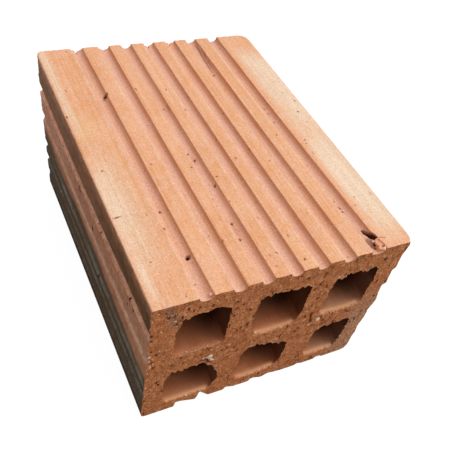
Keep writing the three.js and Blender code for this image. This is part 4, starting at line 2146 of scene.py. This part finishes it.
GRAINS = tuple(
    Grain(x, z, radius)
    for x, z, radius in (
        (-33.2, 44.4, 2.7), (-30.2, 46.8, 1.8), (-36.6, 44.0, 1.3), (-31.4, 40.8, 1.6),
        (-26.2, 27.0, 0.9), (-20.3, 22.3, 0.9), (-17.1, 20.1, 1.0), (-61.3, 65.2, 0.7),
        (-55.6, 86.3, 1.1), (-51.8, 96.6, 0.6), (-37.2, 92.9, 0.7), (-43.4, 90.6, 0.7),
        (-25.2, 53.7, 0.7), (-33.6, 52.4, 0.7), (-22.0, 77.3, 0.7), (-10.0, 54.8, 0.6),
        (18.1, 86.5, 0.8), (9.7, 93.0, 0.6), (23.3, 73.2, 0.7), (18.5, 61.0, 0.8), (27.9, 50.9, 1.8),
        (30.1, 47.8, 1.6), (28.9, 45.0, 1.3), (23.7, 46.8, 1.1), (39.0, 43.9, 1.0), (23.1, 39.1, 0.9),
        (-65.3, 52.8, 0.7), (-42.2, 9.2, 0.6), (-66.5, 73.6, 0.5), (-66.3, 70.9, 0.4),
        (-66.3, 66.3, 0.5), (-66.2, 62.5, 0.8), (-64.6, 60.2, 0.5), (-66.2, 58.6, 0.7),
        (-66.4, 90.3, 0.4), (-66.3, 86.8, 0.3), (-66.2, 80.2, 0.4), (-62.0, 81.5, 0.6),
        (-66.4, 48.0, 0.5), (-66.4, 40.0, 0.4), (-66.2, 33.0, 0.5), (-66.3, 24.0, 0.4),
        (25.7, 76.5, 0.5), (-47.5, 57.2, 0.4), (-42.6, 56.2, 0.6), (-36.5, 57.2, 0.4),
        (22.2, 28.5, 0.7), (21.0, 16.5, 0.7), (-16.3, 60.7, 0.7),
    )
) + (
    Grain(50.4, -94.0, 1.0, below_top=1.0), Grain(47.6, -88.4, 0.6, below_top=1.2),
    Grain(57.4, -93.9, 0.5, below_top=0.3), Grain(63.0, -94.0, 0.45, below_top=0.3),
    Grain(-65.9, -47.3, 1.1, on_left=80.6), Grain(-66.2, -43.4, 0.9, on_left=75.4),
    Grain(-66.6, -20.0, 0.7, on_left=75.0), Grain(-66.8, -84.0, 0.7, on_left=79.5),
)

# Each pale grain on the front end sits in a hollow of its own, painted half dark as its shade
SOCKETS = tuple(
    Dent((grain.x, FRONT, grain.z), (1.7 * grain.radius, 5.0, 1.7 * grain.radius), 0.9, 0, True,
         push=(0, 0.8 * grain.radius, 0), torn=0.5)
    for grain in GRAINS if grain.below_top is None and grain.on_left is None
)

DENTS = TOP_DENTS + SIDE_DENTS + CUT_DENTS + SOCKETS

FLAKES = (
    # Pushed-up clay beside the torn slot
    Flake((49.9, -89.9, 97.9), (2.4, 3.8, 2.0), (0, -10, -6), 0.5),
    Flake((48.7, -92.6, 97.4), (1.7, 3.6, 1.8), (0, 6, -22), 0.5),
    Flake((44.6, -94.0, 96.0), (2.6, 1.4, 1.0), (0, 0, 10)),
    # Crumbs along the front arris of the top
    Flake((56.0, -94.0, 98.2), (2.4, 1.5, 1.3), (0, 0, 10)),
    Flake((60.2, -94.1, 98.1), (1.8, 1.4, 1.3), (0, 0, -10)),
    Flake((64.0, -94.0, 97.9), (1.6, 1.4, 1.3), (0, 10, 0)),
    Flake((-40.4, -94.1, 98.0), (1.8, 1.2, 1.2), (0, 0, 0)),
    Flake((-61.5, -94.2, 98.0), (1.6, 1.2, 1.2), (0, 0, 0)),
    Flake((31.5, -94.0, 83.8), (1.2, 1.4, 2.6), (0, 30, 0)),
    Flake((33.2, -94.0, 84.0), (1.0, 1.3, 2.2), (0, -20, 0)),
    Flake((46.3, -94.1, 84.2), (1.0, 1.2, 2.4), (0, 10, 0)),
    # Torn burrs along roof lips
    Flake((4.6, -93.9, 41.4), (8.6, 1.8, 2.2), (0, 4, 0)),
    Flake((28.2, -94.0, 85.0), (3.4, 1.8, 2.2), (0, 20, 0)),
    Flake((36.5, -94.0, 86.2), (4.2, 1.6, 1.4), (0, -6, 0)),
    Flake((-4.5, -94.1, 86.6), (4.4, 1.5, 1.3), (0, 5, 0)),
    Flake((-26.6, -94.0, 38.2), (2.0, 1.6, 3.0), (0, 12, 0)),
)


def main() -> None:
    """Builds the brick, its grit and the studio, and reports each piece."""
    logging.basicConfig(level=logging.INFO, format="%(name)s: %(message)s")
    low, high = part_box(NODE)
    size = (high - low) / MM
    studio = Studio()
    studio.build()
    log.info("studio set up")

    grain, dots, streaks = Groups.grain(), Groups.dots(), Groups.streaks()
    brick = HollowBrick(Die(width=size.x, length=size.y, height=size.z), CELL_WARPS, DENTS)
    body = brick.build()
    body.data.materials.append(DrawnSkin("drawn_clay_skin", 0.62).build(grain, dots, streaks))
    body.data.materials.append(WireCut("wire_cut_clay", 0.85).build(grain, dots))
    body.data.materials.append(CellWall("cell_wall_clay", 0.7).build(grain, streaks))
    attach(body, BODY)
    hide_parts(NODE)
    body.data.calc_loop_triangles()
    log.info("%s: %d triangles", body.name, len(body.data.loop_triangles))

    loose = (
        (Grit(brick, GRAINS).build(), LooseClay("pale_grit", 0.4, TONES.chalk, TONES.grit, gloss=0.9)),
        (TornClay(FLAKES, brick.die).build(), LooseClay("torn_clay", 0.8, TONES.rose, TONES.raw)),
    )
    for piece, finish in loose:
        piece.data.materials.append(finish.build(grain))
        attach(piece, BODY)
        log.info("%s: %d faces", piece.name, len(piece.data.polygons))


if __name__ == "__main__":
    main()
